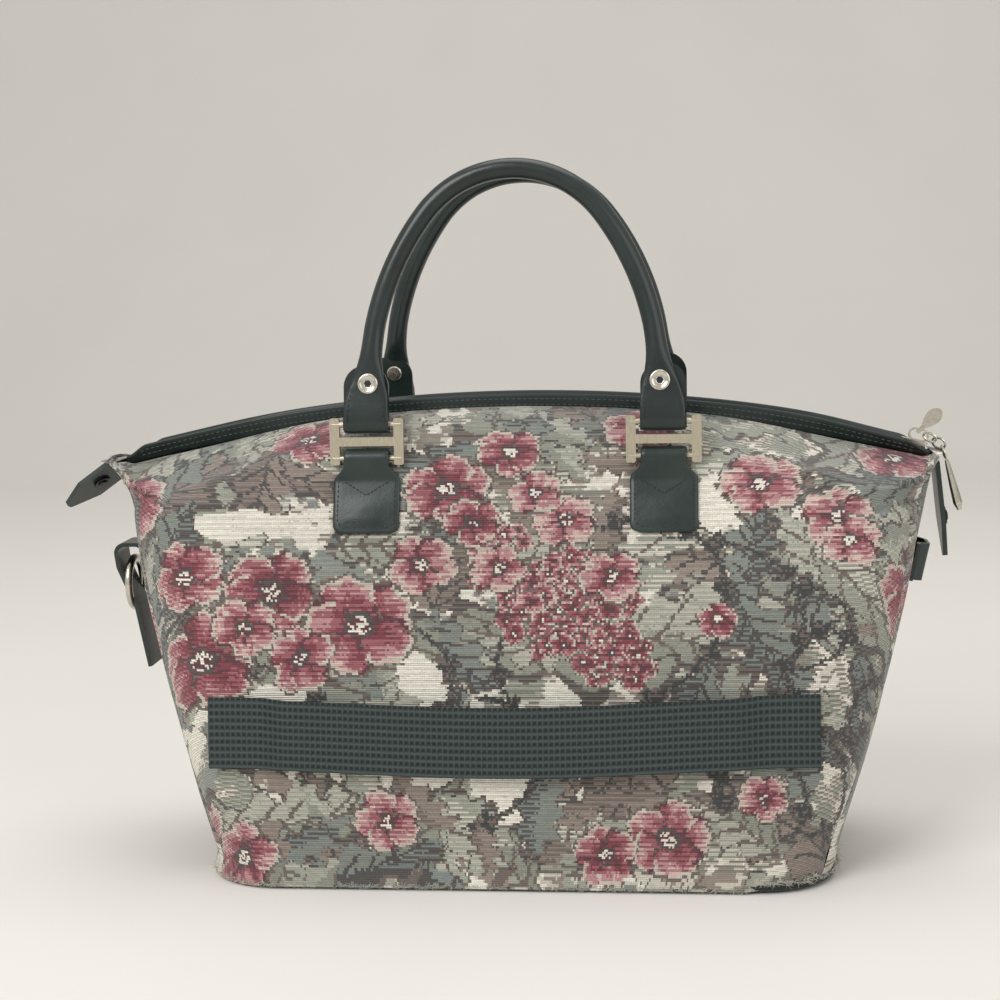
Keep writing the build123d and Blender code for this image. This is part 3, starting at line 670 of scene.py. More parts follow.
def outlinePoint(a, length, width, radius):
    # quarter of a rounded rectangle by running length: end straight, corner arc, long straight
    first = width - radius
    corner = radius * math.pi / 2
    turned = np.clip((a - first) / radius, 0, math.pi / 2)
    x = length - radius + radius * np.cos(turned) - np.clip(a - first - corner, 0, None)
    y = np.clip(a, 0, first) + radius * np.sin(turned)
    return x, y


def creaseDip(x, z, crease):
    # a valley along a line of points: depth times a bell curve of the distance to it
    gap = np.full(x.shape, 1e3)
    for (ax, az), (bx, bz) in zip(crease["line"][:-1], crease["line"][1:]):
        t = np.clip(((x - ax) * (bx - ax) + (z - az) * (bz - az)) / ((bx - ax) ** 2 + (bz - az) ** 2), 0, 1)
        gap = np.minimum(gap, np.hypot(x - ax - t * (bx - ax), z - az - t * (bz - az)))
    return crease["depth"] * np.exp(-(gap / crease["width"]) ** 2)


creases = [
    {"line": [(128, 279), (160, 256), (205, 233), (256, 238)], "depth": 3.2, "width": 5.0},
    {"line": [(222, 229), (252, 232)], "depth": 3.0, "width": 2.6},
    {"line": [(-150, 277), (-200, 252), (-252, 234)], "depth": 2.0, "width": 6.0},
    {"line": [(-236, 262), (-262, 240)], "depth": 2.4, "width": 4.0},
    {"line": [(-60, 262), (-30, 244), (20, 248)], "depth": 1.2, "width": 9.0},
    {"line": [(-180, 150), (-168, 96), (-176, 46)], "depth": 1.6, "width": 10.0},
    {"line": [(176, 150), (166, 88), (152, 46)], "depth": 1.8, "width": 9.0},
]


soft = {
    # what folds, waves, hem and pinched ends add to the plain form, in mm
    "topRound": 3.0, "foldRound": 7.0, "facetDip": 2.6, "waveDeep": 2.6, "waveSize": 88,
    "rippleDeep": 0.5, "rippleSize": 26, "hemOut": 4.4, "hemDown": 2.3, "tabFlat": 30,
    "wingLeft": 15.0, "wingRight": 2.0, "wingHeight": 255, "wingTall": 11, "wingDeep": 20,
}


def bodySurface(x, y, z, seed):
    # the wall under the fold planes and the zip arc, with soft creases, then a pinched wing at both ends
    top = softMin(foldHeight(x, y), clothTop(x), soft["topRound"])
    newZ = softMin(z, top, soft["foldRound"])
    newZ = np.minimum(newZ, clothTop(x))
    facet = smoothStep(-2, 14, z - foldHeight(x, y)) * smoothStep(150, 190, np.abs(x))
    facet = facet * smoothStep(15.5, 26, np.abs(y))
    newZ = newZ - soft["facetDip"] * facet * smoothStep(15.5, 40, np.abs(y))
    points = np.stack([x, y, newZ], axis=-1)
    normal = unit(np.cross(np.gradient(points, axis=1), np.gradient(points, axis=0)), 1e-9)
    outward = np.stack([x, y * 3, np.full(x.shape, 60.0)], axis=-1)
    normal = normal * np.sign((normal * outward).sum(axis=-1, keepdims=True))
    waves = soft["waveDeep"] * np.clip(cloudNoise(x + y, newZ, soft["waveSize"], seed, 2) - 0.42, 0, 1) * 2
    dip = waves + soft["rippleDeep"] * cloudNoise(x + y, newZ, soft["rippleSize"], seed + 3, 2)
    for crease in creases:
        dip = dip + creaseDip(x, newZ, crease)
    # the rear panel's raw edge hangs over the piping, except at the right
    hem = (1 - smoothStep(3.5, 14, z)) * smoothStep(20, 60, -y) * (1 - smoothStep(135, 165, x))
    points = points + normal * (soft["hemOut"] * hem)[..., None]
    points[..., 2] = points[..., 2] - soft["hemDown"] * hem
    # no dips under the body tabs, at the floor or beside the slot
    nearTab = np.exp(-(((np.abs(x) - bag["tabX"]) / soft["tabFlat"]) ** 4)) * smoothStep(196, 212, newZ)
    besideSlot = smoothStep(15.4, 20, np.abs(y) + 30 * (np.abs(x) > 256))
    dip = dip * (1 - nearTab) * smoothStep(4, 24, newZ) * besideSlot
    points = points - normal * dip[..., None]
    wing = smoothStep(226, 262, np.abs(points[..., 0]))
    wing = wing * np.exp(-((points[..., 2] - soft["wingHeight"]) / soft["wingTall"]) ** 2
                         - (points[..., 1] / soft["wingDeep"]) ** 2)
    reach = np.where(points[..., 0] < 0, soft["wingLeft"], soft["wingRight"])
    points[..., 0] = points[..., 0] + np.sign(points[..., 0]) * reach * wing
    return points


def turnedEdge(points):
    # the cloth's edge turned inwards at a seam, by a bell curve of the columns' distance to the seam
    columns = points.shape[1]
    away = np.minimum(np.arange(columns), columns - 1 - np.arange(columns))
    pull = 1.5 * np.exp(-(away / 1.3) ** 2)
    flat = points - np.array([0.0, 0.0, 150.0])
    flat[..., 2] = 0
    flat = unit(flat, 1e-9)
    return points - flat * (pull[None, :, None] * smoothStep(2, 30, points[..., 2])[..., None])


def clothPiece(name, kind, side, seed, replaced):
    # panel: side -1 rear or 1 front; gusset: side -1 left or 1 right. Each level is a stretch of a rounded
    # rectangle between the seams, and the last rows run straight to the slot's edge
    z = levelHeights(bag["levels"])[:, None]
    length = np.minimum(halfLength(z), bag["wingEnd"])
    width = halfWidth(z)
    radius = np.maximum(np.minimum(bag["cornerRadius"], width * 0.72), 4)
    first = width - radius
    limit = gussetHalf(z)
    inCorner = first + radius * np.arcsin(np.clip((limit - first) / radius, -1, 1))
    splitAt = np.where(limit <= first, limit, inCorner)
    total = first + radius * math.pi / 2 + (length - radius)
    if kind == "panel":
        q = np.linspace(0, 1, bag["panelColumns"])[None, :]
        a = splitAt + q * (total - splitAt)
        x, y = outlinePoint(a, length, width, radius)
        x = np.concatenate([-x, x[:, -2::-1]], axis=1)
        y = np.concatenate([y, y[:, -2::-1]], axis=1) * side
        along = np.concatenate([-(total - a), (total - a)[:, -2::-1]], axis=1)
    else:
        q = np.linspace(-1, 1, bag["gussetColumns"])[None, :]
        x, y = outlinePoint(np.abs(q) * splitAt, length, width, radius)
        x = x * side
        y = y * np.sign(q + 1e-12)
        along = (q * splitAt) + side * bag["gussetShift"]
    points = bodySurface(x, y, np.broadcast_to(z, x.shape), seed)
    edge = points[-1].copy()
    if kind == "panel":
        edge[:, 0] = np.clip(edge[:, 0], -bag["slotHalfLength"], bag["slotHalfLength"])
        edge[:, 1] = side * (bag["slotHalfWidth"] + 0.1)
        edge[:, 2] = clothTop(edge[:, 0])
    else:
        edge[:, 0] = side * bag["slotHalfLength"]
        edge[:, 2] = zipHeight(edge[:, 0])
    share = np.linspace(0, 1, bag["edgeRows"] + 1)[1:, None, None]
    points = np.concatenate([turnedEdge(points), points[-1:] * (1 - share) + edge[None] * share], axis=0)
    along = np.concatenate([along, np.repeat(along[-1:], bag["edgeRows"], axis=0)], axis=0)
    climb = points[..., 2] + 0.8 * (bag["baseHalfWidth"] - np.abs(points[..., 1])) * (kind == "panel")
    uv = np.stack([along, climb], axis=-1) * mm
    colors = tapestryDesign(cellMiddle(along), cellMiddle(climb), seed)
    outwards = (side < 0) == (kind == "panel")
    if not outwards:
        points, uv, colors = points[:, ::-1], uv[:, ::-1], colors[:, ::-1]
    return gridPiece(name, points * mm, tapestry, "bag", uv, colors, replaces=[replaced])


rearCloth = clothPiece("tapestryRear", "panel", -1, 11, "rear_panel")
frontCloth = clothPiece("tapestryFront", "panel", 1, 29, "front_panel")
leftCloth = clothPiece("tapestryLeftEnd", "gusset", -1, 43, "left_gusset")
rightCloth = clothPiece("tapestryRightEnd", "gusset", 1, 57, "right_gusset")


lining = {"inset": 14, "cornerLess": 4, "levels": 60, "columns": 60, "lift": 4, "underZip": 20}


def liningPiece():
    # closed bag of plain cloth inside the tapestry, clear of its creases: the same form, moved in and closed
    z = levelHeights(lining["levels"])[:, None]
    length = np.minimum(halfLength(z), bag["wingEnd"]) - lining["inset"]
    width = np.maximum(halfWidth(z) - lining["inset"], 10)
    radius = np.maximum(np.minimum(bag["cornerRadius"], width * 0.72) - lining["cornerLess"], 3)
    total = width - radius + radius * math.pi / 2 + length - radius
    x, y = outlinePoint(np.linspace(0, 1, lining["columns"])[None, :] * total, length, width, radius)
    x = np.concatenate([x, -x[:, -2::-1], -x[:, 1:], x[:, -2:0:-1]], axis=1)
    y = np.concatenate([y, y[:, -2::-1], -y[:, 1:], -y[:, -2:0:-1]], axis=1)
    top = softMin(foldHeight(x, y), zipHeight(x), 3.0) - lining["underZip"]
    height = np.minimum(np.broadcast_to(z + lining["lift"], x.shape), top)
    points = np.stack([x, y, height], axis=-1)
    low = points[:1] * [0, 0, 1]
    high = np.stack([points[-1, :, 0], points[-1, :, 1] * 0, points[-1, :, 2]], axis=-1)[None]
    points = np.concatenate([low, points, high])
    return gridPiece("clothLining", points * mm, liningCloth, "bag", closeRound=True,
                     replaces=["lining"])


liningPiece()
print("tapestry body made")


# frayed cut edge along the base: short curved cotton strands, thicker at the lower rear edge
fray = {
    "count": 2600, "longest": 5.0, "thick": 0.32, "out": 3.6, "rearHeight": 1.6, "height": 6.0, "spread": 2.6,
    "floor": 0.4,
}


def frayedEdge():
    # each strand is a bent three-sided spike; its root lies on the base outline, its tip a few mm away
    rng = np.random.default_rng(8)
    length, width, radius = bag["baseHalfLength"], bag["baseHalfWidth"], bag["cornerRadius"]
    total = width - radius + radius * math.pi / 2 + length - radius
    a = rng.random(fray["count"]) * total
    x, y = outlinePoint(a, length + fray["out"], width + fray["out"], radius)
    x, y = x * rng.choice([-1, 1], fray["count"]), y * rng.choice([-1, -1, -1, 1], fray["count"])
    z = np.where((y < 0) & (x < 140), fray["rearHeight"], fray["height"])
    z = z + fray["spread"] * rng.random(fray["count"])
    root = np.stack([x, y, z], axis=1)
    away = np.stack([x * 0.2, y, np.zeros_like(x)], axis=1)
    away = unit(away)
    size = fray["longest"] * (0.3 + 0.7 * rng.random((fray["count"], 1)) ** 2)
    drift = rng.normal(0, 1, (fray["count"], 3)) * [1, 0.35, 0.6]
    middle = root + away * size * 0.35 + drift * size * 0.25
    tip = middle + drift * size * 0.5 + [0, 0, -0.2] * size
    turnAround = np.array([0, 2 * np.pi / 3, 4 * np.pi / 3])
    ring = np.stack([np.cos(turnAround), np.zeros(3), np.sin(turnAround)], axis=1) * fray["thick"] / 2
    points = np.concatenate([root[:, None] + ring, middle[:, None] + ring * 0.8, tip[:, None]], axis=1)
    faces = np.array([[0, 1, 4, 3], [1, 2, 5, 4], [2, 0, 3, 5], [3, 4, 6, 6], [4, 5, 6, 6], [5, 3, 6, 6],
                      [0, 2, 1, 1]])
    allFaces = (faces[None] + (np.arange(fray["count"]) * 7)[:, None, None]).reshape(-1, 4)
    faceList = [list(dict.fromkeys(f)) for f in allFaces.tolist()]
    mesh = bpy.data.meshes.new("frayedEdge")
    points[..., 2] = np.maximum(points[..., 2], fray["floor"])
    mesh.from_pydata((points.reshape(-1, 3) * mm).tolist(), [], faceList)
    return placePiece("frayedEdge", mesh, paleThread, "bag")


frayedEdge()


# zip trims: folded leather strips that stand along the slot and lean out near the ends
trim = {
    # one face of the section, from its foot to its rounded top: (height, half thickness)
    "face": [(-6, 1.2), (-2, 1.2), (2, 1.2), (5, 1.2), (7, 1.05), (7.8, 0.6), (8, 0)],
    "end": 255.5, "steps": 260, "endTaper": 16, "endHeight": 0.25,
    "lean": 0.5, "leanMiddle": 0.1, "leanRight": 0.3,
    "stitchPitch": 3.7, "stitchRun": 508, "stitchEnd": 244, "stitchOut": 1.25, "rows": (4.9, 1.2),
}


def trimPlace(x, up, side):
    # a point of the strip: up along a line that leans outwards by a share that grows towards the ends
    fromEnd = trim["end"] - np.abs(x)
    tall = trim["endHeight"] + (1 - trim["endHeight"]) * smoothStep(0, trim["endTaper"], fromEnd)
    up = np.where(up > 0, up * tall, up)
    lean = trim["leanMiddle"] + trim["lean"] * smoothStep(110, 235, np.abs(x))
    lean = lean + trim["leanRight"] * smoothStep(170, 250, x)
    low = -bag["trimDrop"] * smoothStep(110, 215, np.abs(x))
    angle = np.arcsin(x / bag["zipRadius"])
    y = bag["slotHalfWidth"] - 1.3 + (up - low - 2) * np.sin(lean)
    rise = low + (up - low) * np.cos(lean)
    wave = 0.35 * np.sin(x / 23.0) * np.clip(up, 0, 8) / 8
    points = np.stack([x + rise * np.sin(angle), side * (y + wave), zipHeight(x) + rise * np.cos(angle)],
                      axis=-1)
    return points, lean


def trimStrip(side, name):
    # section round the strip: up one face, over the rounded top and down the other, carried along the zip
    face = np.array(trim["face"], float)
    up = np.concatenate([face[:, 0], face[-2::-1, 0]])[None, :]
    half = np.concatenate([face[:, 1], -face[-2::-1, 1]])[None, :]
    x, up = np.broadcast_arrays(np.linspace(-trim["end"], trim["end"], trim["steps"])[:, None], up)
    points, lean = trimPlace(x, up, side)
    points[..., 1] += side * half * np.cos(lean)
    points[..., 2] -= half * np.sin(lean)
    points = closeEnds(points)
    if side < 0:
        points = points[:, ::-1]
    return gridPiece(name + "Trim", points * mm, trimLeather, "bag", closeRound=True,
                     replaces=[name + "_zip_trim"])


def trimStitches(side, name):
    # two rows of stitches on the outer face
    count = int(trim["stitchRun"] / trim["stitchPitch"])
    x = np.linspace(-trim["stitchEnd"], trim["stitchEnd"], count)
    places, alongs, ups = [], [], []
    for row in trim["rows"]:
        here, lean = trimPlace(x, np.full(count, row), side)
        ahead, _ = trimPlace(x + 1, np.full(count, row), side)
        outward = np.stack([np.zeros(count), side * np.cos(lean), -np.sin(lean)], axis=-1)
        places.append(here + outward * trim["stitchOut"])
        alongs.append(ahead - here)
        ups.append(outward)
    places, alongs, ups = [np.concatenate(v) for v in (places, alongs, ups)]
    shape = stitchShape(2.7 * mm, 0.75 * mm, 0.3 * mm)
    return repeatPiece(name + "TrimStitches", shape, places * mm, alongs, ups, trimThread, "bag")


for side, name in ((-1, "rear"), (1, "front")):
    trimStrip(side, name)
    trimStitches(side, name)
print("zip trims made")


# zip coil: a corrugated bead, teeth of the two halves meeting in the middle half a pitch apart
coil = {"pitch": 2.4, "half": 3.2, "top": 1.3, "base": -1.0, "start": -252, "end": 241.0, "steps": 1500}


def zipCoil():
    # height: a flattened hump over each half of the width, times a cosine along the zip for the teeth
    x = np.linspace(coil["start"], coil["end"], coil["steps"])[:, None]
    across = np.linspace(-1, 1, 15)[None, :]
    phase = np.where(across < 0, 0, math.pi)
    tooth = 0.5 + 0.5 * np.cos(2 * math.pi * x / coil["pitch"] + phase)
    hump = np.sqrt(np.clip(1 - (np.abs(across) * 2 - 1) ** 4, 0, 1))
    rise = coil["base"] + (coil["top"] - coil["base"]) * hump * (0.55 + 0.45 * tooth)
    angle = np.arcsin(x / bag["zipRadius"])
    xs = x + rise * np.sin(angle)
    zs = zipHeight(x) + rise * np.cos(angle)
    points = np.stack([xs, np.broadcast_to(across * coil["half"], xs.shape), zs], axis=-1)
    return gridPiece("zipCoil", points[:, ::-1] * mm, zipNylon, "bag", replaces=["zip_coil"])


zipCoil()


# rolled grips: a tube along three tangent arcs that flattens into a strap at each end
grip = {
    "radius": 6.5, "halfSpan": 89.0, "rise": 130.5, "foot": 25.0, "topArc": 68.0, "start": 10.6,
    "lean": math.radians(6.0), "pinY": 54.6, "pinZ": 284.0, "foldRadius": 4.9,
    "sideSteps": 34, "crownSteps": 30, "rings": 300, "around": 40,
    "seamDeep": 0.45, "seamWide": 0.13, "pucker": 0.12, "flatPoints": 6,
    # the strap's middle by its height over the pin: outwards from the tube's foot, and through
    "strapHeights": [5.2, 9, 14, 19, 25, 31, 37.5, 42, 46, 50],
    "strapOut": [(5.2, 5.0), (14, 4.4), (25, 3.4), (37.5, 2.4), (46, 1.4)],
    "strapBack": [(5.2, -4.9), (10, -4.4), (25, -2.7), (31, -2.4), (44, -0.6)],
    # angles of the fold round the pin, and half sizes across and through by height
    "foldAngles": [330, 308, 286, 264, 242, 220, 200, 182],
    "wide": [(-6, 14), (5.2, 14), (14, 13.6), (20, 12.2), (25, 10.8), (31, 9.0), (37.5, 7.6), (44, 6.7)],
    "thick": [(-6, 1.15), (0, 1.15), (5.2, 1.9), (14, 2.1), (25, 2.2), (31, 3.3), (37.5, 5.2), (44, 6.3)],
}


def handlePoint(points, side):
    # local handle frame to bag frame: lean about X, lift to the pin, mirror for the front
    c, s = math.cos(-grip["lean"]), math.sin(-grip["lean"])
    y = points[..., 1] * c - points[..., 2] * s - grip["pinY"]
    z = points[..., 1] * s + points[..., 2] * c + grip["pinZ"]
    return np.stack([points[..., 0], y * side, z], axis=-1)


def byHeight(table, z, footZ, footValue):
    # straight lines through the table's (height, value) pairs and on to the tube's foot
    heights, values = zip(*table, (footZ, footValue))
    return np.interp(z, heights, values)


def gripLine():
    # centre line from the right foot over the top to the left foot, with half sizes across and through:
    # a wide arc up each side and a smaller arc over the top that is tangent to both
    drop = grip["rise"] - grip["topArc"]
    half = grip["halfSpan"]
    sideArc = (grip["topArc"] ** 2 - drop ** 2 - half ** 2) / (2 * grip["topArc"] - 2 * half)
    middle = sideArc - half
    turnEnd = math.atan2(drop, middle)
    a = np.linspace(math.radians(grip["start"]), turnEnd, grip["sideSteps"])
    rise = np.stack([-middle + sideArc * np.cos(a), np.zeros(len(a)), grip["foot"] + sideArc * np.sin(a)],
                    axis=-1)
    b = np.linspace(turnEnd, math.pi / 2, grip["crownSteps"])[1:]
    crownZ = grip["foot"] + drop + grip["topArc"] * np.sin(b)
    crown = np.stack([grip["topArc"] * np.cos(b), np.zeros(len(b)), crownZ], axis=-1)
    footX, footZ = rise[0, 0], rise[0, 2]
    z = np.array(grip["strapHeights"])
    x = footX + byHeight(grip["strapOut"], z, footZ, 0)
    y = byHeight(grip["strapBack"], z, footZ, 0)
    # below the strap the leather folds round the pin, on a circle of its middle radius
    under = np.radians(grip["foldAngles"])
    x = np.concatenate([np.full(len(under), x[0]), x])
    y = np.concatenate([grip["foldRadius"] * np.cos(under), y])
    z = np.concatenate([grip["foldRadius"] * np.sin(under), z])
    strap = np.stack([x, y, z], axis=-1)
    tube = np.full(len(rise) + len(crown), grip["radius"])
    wide = np.concatenate([byHeight(grip["wide"], z, footZ, grip["radius"]), tube])
    thick = np.concatenate([byHeight(grip["thick"], z, footZ, grip["radius"]), tube])
    line = np.concatenate([strap, rise, crown])
    line = np.concatenate([line, line[-2::-1] * [-1, 1, 1]])
    return line, np.concatenate([wide, wide[-2::-1]]), np.concatenate([thick, thick[-2::-1]])


def smoothRun(values, times):
    # repeated neighbour averaging along the line, ends kept
    for _ in range(times):
        inner = 0.25 * values[:-2] + 0.5 * values[1:-1] + 0.25 * values[2:]
        values = np.concatenate([values[:1], inner, values[-1:]])
    return values


def gripPiece(side, name):
    # section: an ellipse on the tube that squares up on the strap, with a sewn seam and fine puckers
    line, wide, thick = [smoothRun(values, 2) for values in gripLine()]
    run = np.concatenate([[0], np.cumsum(np.linalg.norm(np.diff(line, axis=0), axis=1))])
    even = np.linspace(0, run[-1], grip["rings"])
    line = np.stack([np.interp(even, run, line[:, k]) for k in range(3)], axis=-1)
    wide, thick = np.interp(even, run, wide), np.interp(even, run, thick)
    tangent = unit(np.gradient(line, axis=0))
    outer = unit(np.cross([0.0, 1.0, 0.0], tangent))
    through = np.cross(tangent, outer)
    a = np.linspace(0, 2 * np.pi, grip["around"], endpoint=False)[None, :]
    flat = np.clip((wide / thick - 1) / 4, 0, 1)[:, None]
    power = 1 - 0.62 * flat
    ca = np.sign(np.cos(a)) * np.abs(np.cos(a)) ** power
    sa = np.sign(np.sin(a)) * np.abs(np.sin(a)) ** power
    fromSeam = np.arctan2(np.sin(a - np.pi), np.cos(a - np.pi))
    seam = grip["seamDeep"] * np.exp(-(fromSeam / grip["seamWide"]) ** 2) * (1 - flat)
    pucker = grip["pucker"] * cloudNoise(*np.broadcast_arrays(even[:, None], a * 8), 9, 6, 3)
    shrink = 1 - (seam + pucker) / grip["radius"]
    across = outer[:, None] * (wide[:, None] * (ca * shrink))[..., None]
    depth = through[:, None] * (thick[:, None] * (sa * shrink))[..., None]
    points = handlePoint(closeEnds(line[:, None] + across + depth), side)
    if side > 0:
        points = points[:, ::-1]
    return gridPiece(name + "GripLeather", points[::-1] * mm, gripLeather, name + "_handle",
                     closeRound=True, replaces=[name + "_grip"])


stitch = {"length": 2.3, "width": 0.7, "rise": 0.28, "inset": 2.6, "strapPitch": 3.0}


def strapStitches(side, name):
    # two rows up each strap, 2.6 mm in from its edges, from the fold to the screw
    line, wide, thick = gripLine()
    first = len(grip["foldAngles"])
    lower = slice(first, first + grip["flatPoints"])
    z = np.arange(2.5, 24, stitch["strapPitch"])
    x = np.interp(z, line[lower, 2], line[lower, 0])
    y = np.interp(z, line[lower, 2], line[lower, 1] - thick[lower])
    half = np.interp(z, line[lower, 2], wide[lower]) - stitch["inset"]
    rows = [np.stack([end * (x + edge * half), y, z], axis=-1) for end in (-1, 1) for edge in (-1, 1)]
    places = np.concatenate(rows)
    base = handlePoint(places, side)
    alongs = handlePoint(places + [0.0, 0.0, 1.0], side) - base
    ups = handlePoint(places + [0.0, -1.0, 0.0], side) - base
    shape = stitchShape(stitch["length"] * mm, stitch["width"] * mm, stitch["rise"] * mm)
    return repeatPiece(name + "StrapStitches", shape, base * mm, alongs, ups, sewingThread, name + "_handle")


screw = {
    "radius": 6.4, "back": -4.2, "height": 25.0,
    # (radius, rise, hexagonal share): cap with a rolled rim and a dish, then the socket
    "profile": [(0, 0, 0), (6.4, 0, 0), (6.4, 1.5, 0), (6.1, 2.2, 0), (5.3, 2.5, 0), (4.5, 2.2, 0),
                (3.9, 1.8, 0), (2.7, 1.8, 0), (2.35, 1.75, 1), (2.3, 1.6, 1), (2.2, 0.4, 1), (0, 0.4, 1)],
}


def screwHeads(side, name):
    # the profile turned round the axis; where its share is 1 the radius follows a hexagon
    profile = np.array(screw["profile"])
    a = np.linspace(0, 2 * np.pi, 48, endpoint=False)[None, :]
    sixth = (a % (np.pi / 3)) - np.pi / 6
    hexagon = np.cos(np.pi / 6) / np.cos(sixth)
    radius = profile[:, :1] * (1 + profile[:, 2:] * (hexagon - 1))
    rise = screw["back"] - np.broadcast_to(profile[:, 1:2], radius.shape)
    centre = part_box(name + "_screws")[1][0] / mm - screw["radius"]
    for end, endName in ((-1, "Left"), (1, "Right")):
        points = np.stack([end * centre + radius * np.cos(a), rise, screw["height"] + radius * np.sin(a)],
                          axis=-1)
        points = handlePoint(points, side)
        if side > 0:
            points = points[:, ::-1]
        gridPiece(name + endName + "Screw", points[:, ::-1] * mm, polished, name + "_handle",
                  closeRound=True, replaces=[name + "_screws"] if end < 0 else [])


for side, name in ((1, "rear"), (-1, "front")):
    gripPiece(side, name)
    strapStitches(side, name)
    screwHeads(side, name)
print("grips made")


# luggage band: ribbed elastic, sewn flat at both ends and standing a little off the panel between
band = {
    "left": -190.0, "right": 184.0, "high": 43.0, "end": 30.0, "off": 8.0, "thick": 1.8, "middle": 97.0,
    "ribs": 10, "holePitch": 3.4, "ease": 22, "sewnOff": 1.2, "tilt": 3.0, "droop": 6.0,
    "columns": 560, "outerRows": 61, "innerRows": 13,
}


def bandSurface(x, v, outer):
    # stand-off rises over the sewn ends; the strip tilts and droops a few mm as in use
    start, stop = band["left"] + band["end"], band["right"] - band["end"]
    s = smoothStep(start, start + band["ease"], x)
    s = s * (1 - smoothStep(stop - band["ease"], stop, x))
    below, above = halfWidth(np.array([band["middle"] - 20, band["middle"] + 20]))
    slope = math.atan2(float(below - above), 40)
    rib = np.abs(np.cos(np.pi * band["ribs"] * (v + 0.5)))
    hole = np.exp(-((((x / band["holePitch"]) % 1) - 0.5) * band["holePitch"] / 0.8) ** 2)
    sewn = 1 - s
    relief = 0.5 * rib ** 0.7 - 0.55 * hole * (1 - 0.6 * rib) * (1 - 0.7 * sewn)
    off = band["sewnOff"] + (band["off"] - band["sewnOff"]) * s - band["thick"] / 2
    off = off + (band["thick"] * 0.72 + relief if outer else 0)
    along, run = x - band["left"], band["right"] - band["left"]
    drift = band["tilt"] * along / run - band["droop"] * np.sin(np.pi * along / run) ** 2
    z = v * band["high"] * (1 + 0.025 * sewn)
    y = -float(halfWidth(np.array(band["middle"]))) - 0.3
    height = band["middle"] + z * math.cos(slope) + drift + off * math.sin(slope)
    return np.stack([x, y - off * math.cos(slope) + z * math.sin(slope), height], axis=-1)


def luggageBand():
    # section ring of outer face and inner face, carried along the band and closed at both ends
    x = np.linspace(band["left"], band["right"], band["columns"])[:, None]
    outerX, outerV = np.broadcast_arrays(x, np.linspace(-0.5, 0.5, band["outerRows"])[None, :])
    innerX, innerV = np.broadcast_arrays(x, np.linspace(0.5, -0.5, band["innerRows"])[None, :])
    points = np.concatenate([bandSurface(outerX, outerV, True), bandSurface(innerX, innerV, False)], axis=1)
    uv = np.stack([np.concatenate([outerX, innerX], axis=1),
                   np.concatenate([outerV, innerV], axis=1) * band["high"]], axis=-1) * mm
    points = closeEnds(points)
    uv = np.concatenate([uv[:1], uv, uv[-1:]])
    piece = gridPiece("elasticBand", points[:, ::-1] * mm, elastic, "bag", uv[:, ::-1],
                      closeRound=True, replaces=["luggage_band"])
    return piece


luggageBand()
print("luggage band made")


# body tabs: a strip that lies on the panel, narrows at its shoulders and folds over the link's lower pin
tab = {
    "x": bag["tabX"], "half": 20.75, "bottom": 218.0, "shoulder": 250.0, "neck": 14.0,
    "pinY": 54.6, "pin": 263.0, "fold": 4.7, "inset": 3.0, "skin": 2.5, "corner": 5.0,
    "crown": 0.9, "crownStart": (219, 227), "crownEnd": (232, 242),
    "stitchPitch": 2.9, "veePitch": 2.6, "stitchCorner": 3, "veeInset": 4, "veeTop": 1.5, "veeTip": 9.5,
}


def bodyTab(side, end, name, replaced):
    # centre line up the panel and round the pin; each section is a rounded strip, crowned in the sewn square
    z = np.linspace(tab["bottom"], tab["shoulder"], 24)
    front = np.stack([halfWidth(z) + tab["skin"] / 2, z], axis=-1)
    a = np.radians(np.linspace(-18, 195, 26))
    fold = np.stack([tab["pinY"] + tab["fold"] * np.cos(a), tab["pin"] + tab["fold"] * np.sin(a)], axis=-1)
    between = np.linspace(front[-1], fold[0], 8)[1:-1]
    line = smoothRun(np.concatenate([front, between, fold]), 3)
    tangent = unit(np.gradient(line, axis=0))
    normal = np.stack([tangent[:, 1], -tangent[:, 0]], axis=-1)
    rise = np.concatenate([z, between[:, 1], np.full(len(a), 300.0)])
    narrowed = smoothStep(tab["shoulder"] - 1, tab["shoulder"] + 9.5, rise)
    half = tab["half"] + (tab["neck"] - tab["half"]) * narrowed
    below = np.clip(tab["bottom"] + tab["corner"] - rise, 0, tab["corner"])
    half = half - tab["corner"] + np.sqrt(tab["corner"] ** 2 - below ** 2)
    v = np.sin(np.linspace(-np.pi / 2, np.pi / 2, 21))
    edge = np.sqrt(np.clip(1 - v ** 16, 0, 1))
    swell = tab["crown"] * smoothStep(*tab["crownStart"], rise)[:, None]
    crown = swell * (1 - smoothStep(*tab["crownEnd"], rise))[:, None] * (1 - v ** 2) ** 2
    outer = edge * tab["skin"] / 2 + crown
    inner = -edge[::-1] * tab["skin"] / 2
    across = np.concatenate([v, v[::-1][1:-1]])
    through = np.concatenate([outer, np.broadcast_to(inner[1:-1], (len(line), len(v) - 2))], axis=1)
    points = np.stack([end * tab["x"] + half[:, None] * across,
                       side * (line[:, :1] + normal[:, :1] * through),
                       line[:, 1:] + normal[:, 1:] * through], axis=-1)
    points = closeEnds(points)
    if side > 0:
        points = points[:, ::-1]
    return gridPiece(name + "BodyTab", points * mm, tabLeather, "bag", closeRound=True,
                     replaces=[replaced])


def polyStitches(line, pitch):
    # places along a broken line every pitch, with the heading of its run
    line = np.array(line, float)
    places, headings = [], []
    for a, b in zip(line[:-1], line[1:]):
        run = np.linalg.norm(b - a)
        count = max(int(round(run / pitch)), 1)
        t = (np.arange(count) + 0.5) / count
        places.append(a + t[:, None] * (b - a))
        headings.append(np.repeat((b - a)[None], count, axis=0))
    return np.concatenate(places), np.concatenate(headings)


